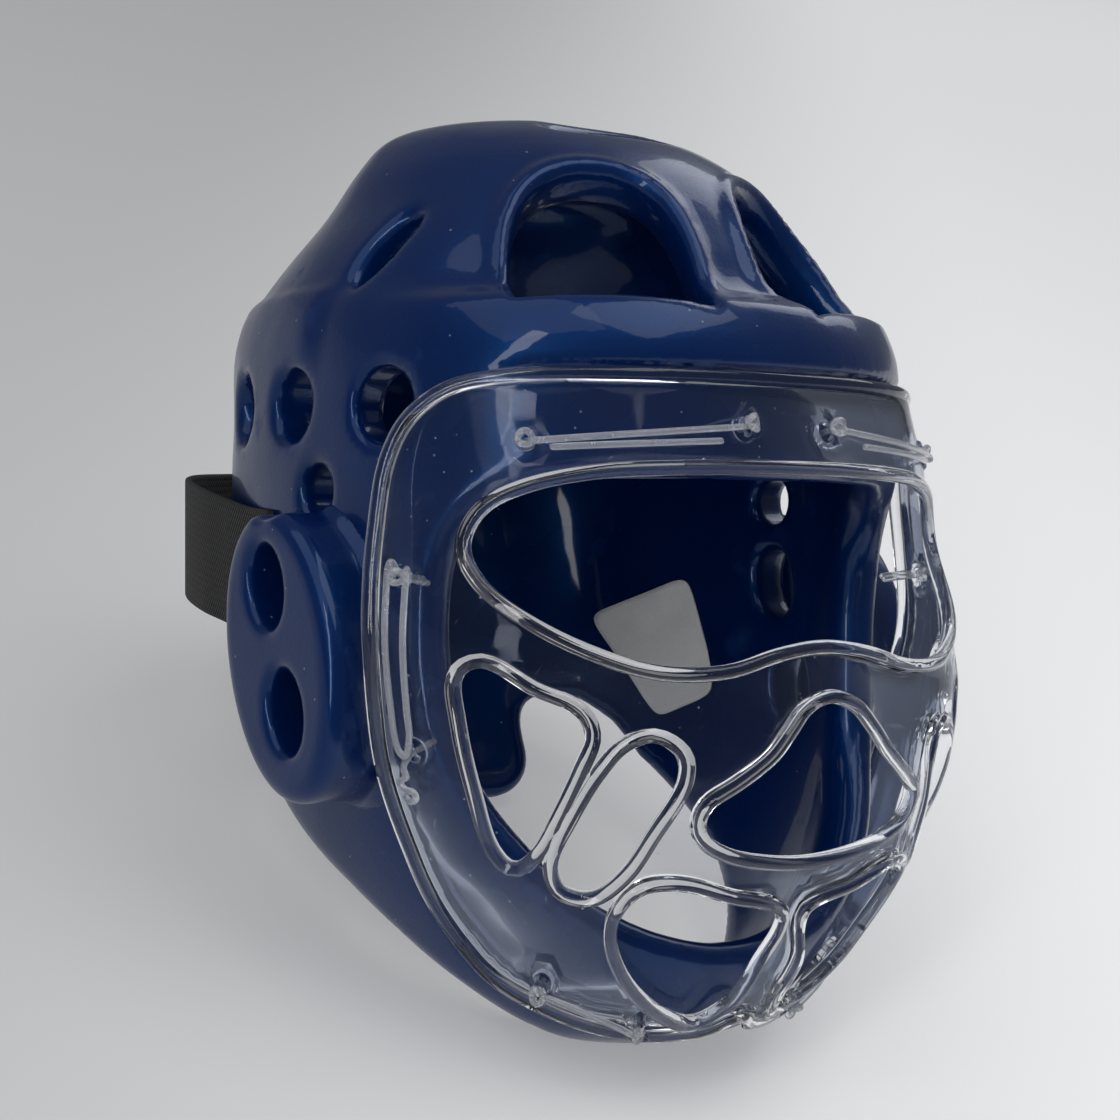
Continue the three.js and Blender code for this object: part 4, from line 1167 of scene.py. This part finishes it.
def side_lace(first, last):
    """A long narrow loop of two strands with its ends twisted at the upper hole."""
    half = 1.5
    down = [(first[0] - half, first[1] + 2), (last[0] - half, last[1] + 6)]
    up = [(last[0] + half * 0.8, last[1] + 6), (first[0] + half, first[1] + 2)]
    loop = plunge(first[0] - 0.4, first[1]) + across_shield(*down, 9, 1.7)
    loop += [on_shield(last[0] + t, last[1] + z, 1.9) for t, z in ((-0.4, 0.5), (0.6, 1.6))]
    loop += across_shield(*up, 9, 1.7) + [on_shield(first[0] + 0.9, first[1] + 4, 2.2)]
    loop += list(reversed(plunge(first[0] + 0.5, first[1] + 1)))
    curl = [
        (0.2, -5.5, 1.6), (1.4, -6.8, 2.1), (0.4, -8.6, 2.3), (-0.9, -9.2, 2.1),
        (-1.2, -11.0, 2.0), (0.2, -12.2, 1.7), (1.2, -11.2, 1.3),
    ]
    curl = [on_shield(last[0] + t, last[1] + z, d) for t, z, d in curl]
    end = plunge(*last) + [on_shield(last[0] + 0.3, last[1] - 2.5, 1.7), curl[0]]
    return [wire(loop), wire(knot(*first, 1.6)), wire(curl), wire(end)]


def chin_lace(first, last):
    """One short strand with a curl at each hole."""
    main = across_shield(np.add(first, (1.2, 0)), np.add(last, (-1.2, 0)), 7, 1.6)
    main = plunge(*first) + main + list(reversed(plunge(*last)))
    return [wire(main), wire(knot(*last, 2.2)), wire(knot(*first, 1.5))]


LACE_FORMS = {"lace_forehead": forehead_lace, "lace_side": side_lace, "lace_chin": chin_lace}


def add_laces(material):
    for name, *ends in LACES:
        for side, word in ((-1, "right"), (1, "left")):
            first, last = [(turn, up * SHIELD_DEPTH) for turn, up in (ends[:2], ends[2:])]
            tubes = [tube * (side, 1, 1) for tube in LACE_FORMS[name](first, last)]
            piece = add_tubes(f"{name}_cord_{word}", tubes, CORD_RADIUS, material)
            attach(piece, "root")
            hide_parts(f"{name}_{word}")


# Strap stations: bearing, share of the slack it stands off, and height
STRAP_COLUMNS = ("turn", "off", "up")
STRAP_STATIONS = [
    (104, 0.0, -0.034), (111, 0.02, -0.027), (120, 0.14, -0.007), (130, 0.4, 0.022),
    (142, 0.72, 0.052), (155, 0.92, 0.067), (168, 1.0, 0.074), (180, 1.0, 0.074),
]


def strap_section(count=5):
    """Half-round edges and flat faces of the webbing: share of thickness, share of width."""
    half = STRAP_THICKNESS / 2
    flat = STRAP_WIDTH / 2 - half
    angle = np.linspace(-math.pi / 2, math.pi / 2, count)
    top = np.stack([-half * np.sin(angle), flat + half * np.cos(angle)], -1)
    down = np.linspace(flat, -flat, 22)[1:-1]
    near = np.stack([np.full(len(down), -half), down], -1)
    return np.concatenate([top, near, -top, -near])


def add_strap(material):
    table = Table(STRAP_COLUMNS, STRAP_STATIONS)
    rows = np.linspace(0, table.last, 70)
    turn, off, up = (table(name, rows) for name in STRAP_COLUMNS)
    up = up * np.where(up > 0, CROWN_HEIGHT, CHIN_DEPTH)
    off = off * STRAP_SLACK
    turn = np.concatenate([turn, 360 - turn[-2::-1]])
    up, off = (np.concatenate([v, v[-2::-1]]) for v in (up, off))

    def reach(level):
        at = shell_at(turn, level)
        return np.hypot(at[:, 0], at[:, 1] - SHELL_CENTRE)

    widest = np.maximum.reduce([reach(up + share * STRAP_WIDTH) for share in (-0.5, 0, 0.5)])
    upright = np.clip(off / (STRAP_FREE * STRAP_SLACK), 0, 1)
    section = strap_section()
    rings = []
    for out, level in section:
        r = reach(up + level) * (1 - upright) + widest * upright
        r = r + off + STRAP_OFF + STRAP_THICKNESS / 2 - out
        a = np.radians(turn)
        rings.append(np.stack([r * np.sin(a), SHELL_CENTRE - r * np.cos(a), up + level], -1))
    points = np.stack(rings, 1)
    n, m = points.shape[:2]
    piece = add_mesh("back_strap_webbing", points.reshape(-1, 3), ring_faces(n, m), material)
    middle = points.mean(1)
    run = np.concatenate([[0], np.cumsum(np.linalg.norm(np.diff(middle, axis=0), axis=1))])
    lengths = np.stack([np.repeat(run, m), np.tile(section[:, 1], n)], -1) / 1000
    set_lengths(piece, lengths)
    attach(piece, "root")
    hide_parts("back_strap")


def set_lengths(piece, lengths):
    """Stores each point's own lengths along and across a piece as its UV map."""
    uv = piece.data.uv_layers.new(name="lengths")
    corners = np.empty(len(piece.data.loops), int)
    piece.data.loops.foreach_get("vertex_index", corners)
    uv.data.foreach_set("uv", lengths[corners].ravel())


# Corners of the label on the inner wall: bearing and height
LABEL_CORNERS = [(137.8, -0.151), (113.7, -0.045), (104.4, -0.318), (120.9, -0.397)]


def shell_moved(turn, z, distance):
    """Points off the shell's outside along its normal, by bearing in degrees and height."""
    across = shell_at(turn + 0.5, z) - shell_at(turn - 0.5, z)
    down = shell_at(turn, z - 0.5) - shell_at(turn, z + 0.5)
    normal = np.cross(down, across)
    normal /= np.linalg.norm(normal, axis=-1, keepdims=True)
    return shell_at(turn, z) + normal * np.asarray(distance)[..., None]


def add_label(material):
    """A blank cloth label on the inner wall, with rounded corners, one of them lifting."""
    a, b, c, d = [np.array((turn, up * CHIN_DEPTH)) for turn, up in LABEL_CORNERS]
    n = 24
    even = np.linspace(-1, 1, n)
    u, v = [g.ravel() for g in np.meshgrid(even, even, indexing="ij")]
    square = 9.0
    pull = (np.abs(u) ** square + np.abs(v) ** square) ** (-1 / square)
    pull = np.nan_to_num(pull * np.maximum(np.abs(u), np.abs(v)), nan=1.0, posinf=1.0)
    u, v = u * pull, v * pull
    s, t = (u[:, None] + 1) / 2, (v[:, None] + 1) / 2
    flat = (1 - s) * (1 - t) * a + s * (1 - t) * b + s * t * c + (1 - s) * t * d
    curl = 2.2 * np.clip((s * t)[:, 0] - 0.55, 0, 1) ** 2 / 0.2
    wave = 0.15 * np.sin(5 * s[:, 0]) * np.sin(4 * t[:, 0])
    near = -FOAM - LABEL_OFF - wave - curl
    faces = []
    for i in range(n - 1):
        for j in range(n - 1):
            k = i * n + j
            faces.append((k, k + 1, k + n + 1, k + n))
    count = n * n
    border = [i * n for i in range(n)] + [(n - 1) * n + j for j in range(1, n)]
    border += [i * n + n - 1 for i in range(n - 2, -1, -1)] + [j for j in range(n - 2, 0, -1)]
    walls = [(p, q, q + count, p + count) for p, q in zip(border, border[1:] + border[:1])]
    faces += [tuple(i + count for i in reversed(f)) for f in faces]
    outer = shell_moved(flat[:, 0], flat[:, 1], near)
    inner = shell_moved(flat[:, 0], flat[:, 1], near - LABEL_THICKNESS)
    points = np.concatenate([outer, inner])
    piece = add_mesh("inner_label_cloth", points, faces + walls, material)
    wide, long = (np.linalg.norm(outer[0] - outer[k]) for k in ((n - 1) * n, n - 1))
    lengths = np.stack([(u + 1) / 2 * wide, (v + 1) / 2 * long], -1) / 1000
    set_lengths(piece, np.concatenate([lengths, lengths]))
    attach(piece, "root")
    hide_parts("inner_label")


def add_shield(sheet, rim):
    """The shield in its two looks: the sheet, and the rims and outer edge."""
    points, faces, depth = Shield().build()
    piece = add_mesh("face_shield_moulded", points, faces, sheet)
    piece.data.materials.append(rim)
    for polygon in piece.data.polygons:
        if depth[list(polygon.vertices)].mean() < RIM_PROFILE[-1][0] - 0.02:
            polygon.material_index = 1
    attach(piece, "root")
    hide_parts("face_shield")


def add_camera():
    """The photograph's view: a little left of ahead, level with the worn head's eyes."""
    distance, lens_px, frame_px, centre_px = 750.0, 2400, 1120, 558
    camera = bpy.data.cameras.new("camera")
    camera.sensor_width = 36
    camera.lens = camera.sensor_width * lens_px / frame_px
    camera.shift_y = (centre_px - frame_px / 2) / frame_px
    item = placed("camera", camera)
    bpy.context.scene.camera = item
    look = np.array((math.sin(VIEW_TURN), math.cos(VIEW_TURN), 0.0))
    axes = (np.cross(look, (0, 0, 1)), np.array((0, 0, 1.0)), -look)
    base = to_row(np.zeros(3))
    matrix = Matrix.Identity(4)
    eye = to_row(-distance * look)
    for column, axis in enumerate(axes):
        for row, value in enumerate(to_row(axis * 1000) - base):
            matrix[row][column] = value
    for row in range(3):
        matrix[row][3] = eye[row]
    item.matrix_world = matrix


def add_floor():
    """A flat floor at the foot of the part, ten metres wide."""
    half = 5.0
    mesh = bpy.data.meshes.new("floor")
    corners = [(-half, -half, 0), (half, -half, 0), (half, half, 0), (-half, half, 0)]
    mesh.from_pydata(corners, [], [(0, 1, 2, 3)])
    mesh.materials.append(floor_looks())
    floor = placed("floor", mesh)


# Soft boxes: place in metres, width, height, watts
SOFT_BOXES = [
    ("strip_left", (-1.08, -0.58, 0.74), 0.18, 1.2, 4.4),
    ("top_left", (-0.75, 0.15, 1.35), 1.5, 1.2, 5.0),
    ("top", (0.25, -0.35, 1.9), 1.4, 1.0, 9.0),
    ("right", (3.2, 1.7, 2.6), 2.4, 2.0, 24.0),
]


def add_lights():
    """Soft boxes round the headgear and a dim even surround."""
    bpy.context.scene.view_settings.view_transform = "Standard"
    world = bpy.data.worlds.new("studio")
    bpy.context.scene.world = world
    world.use_nodes = True
    background = world.node_tree.nodes["Background"]
    background.inputs["Color"].default_value = (0.86, 0.9, 0.96, 1)
    background.inputs["Strength"].default_value = 0.2
    target = Vector((0, 0, 0.12))
    for name, place, width, height, watts in SOFT_BOXES:
        light = bpy.data.lights.new(name, "AREA")
        light.shape = "RECTANGLE"
        light.size, light.size_y = width, height
        light.energy = watts
        item = placed(name, light)
        item.location = place
        item.rotation_euler = (target - Vector(place)).to_track_quat("-Z", "Y").to_euler()


add_camera()
add_floor()
add_lights()
vinyl = vinyl_looks()
foam = Foam()
add_foam("shell_foam", "shell", foam.shell, (-104, -114, -156), (104, 116, 142), SHELL_VOXEL, vinyl)
for side, word in ((-1, "right"), (1, "left")):
    across = sorted((side * (EAR_CUP_FACE + 3), side * 60))
    low, high = (across[0], -62, -82), (across[1], 30, 26)
    field = foam.ear_cup(side)
    add_foam(f"ear_pad_{word}", f"ear_cup_{word}", field, low, high, EAR_CUP_VOXEL, vinyl)
add_shield(sheet_looks(), rim_looks())
add_laces(lace_looks())
add_strap(strap_looks())
add_label(label_looks())
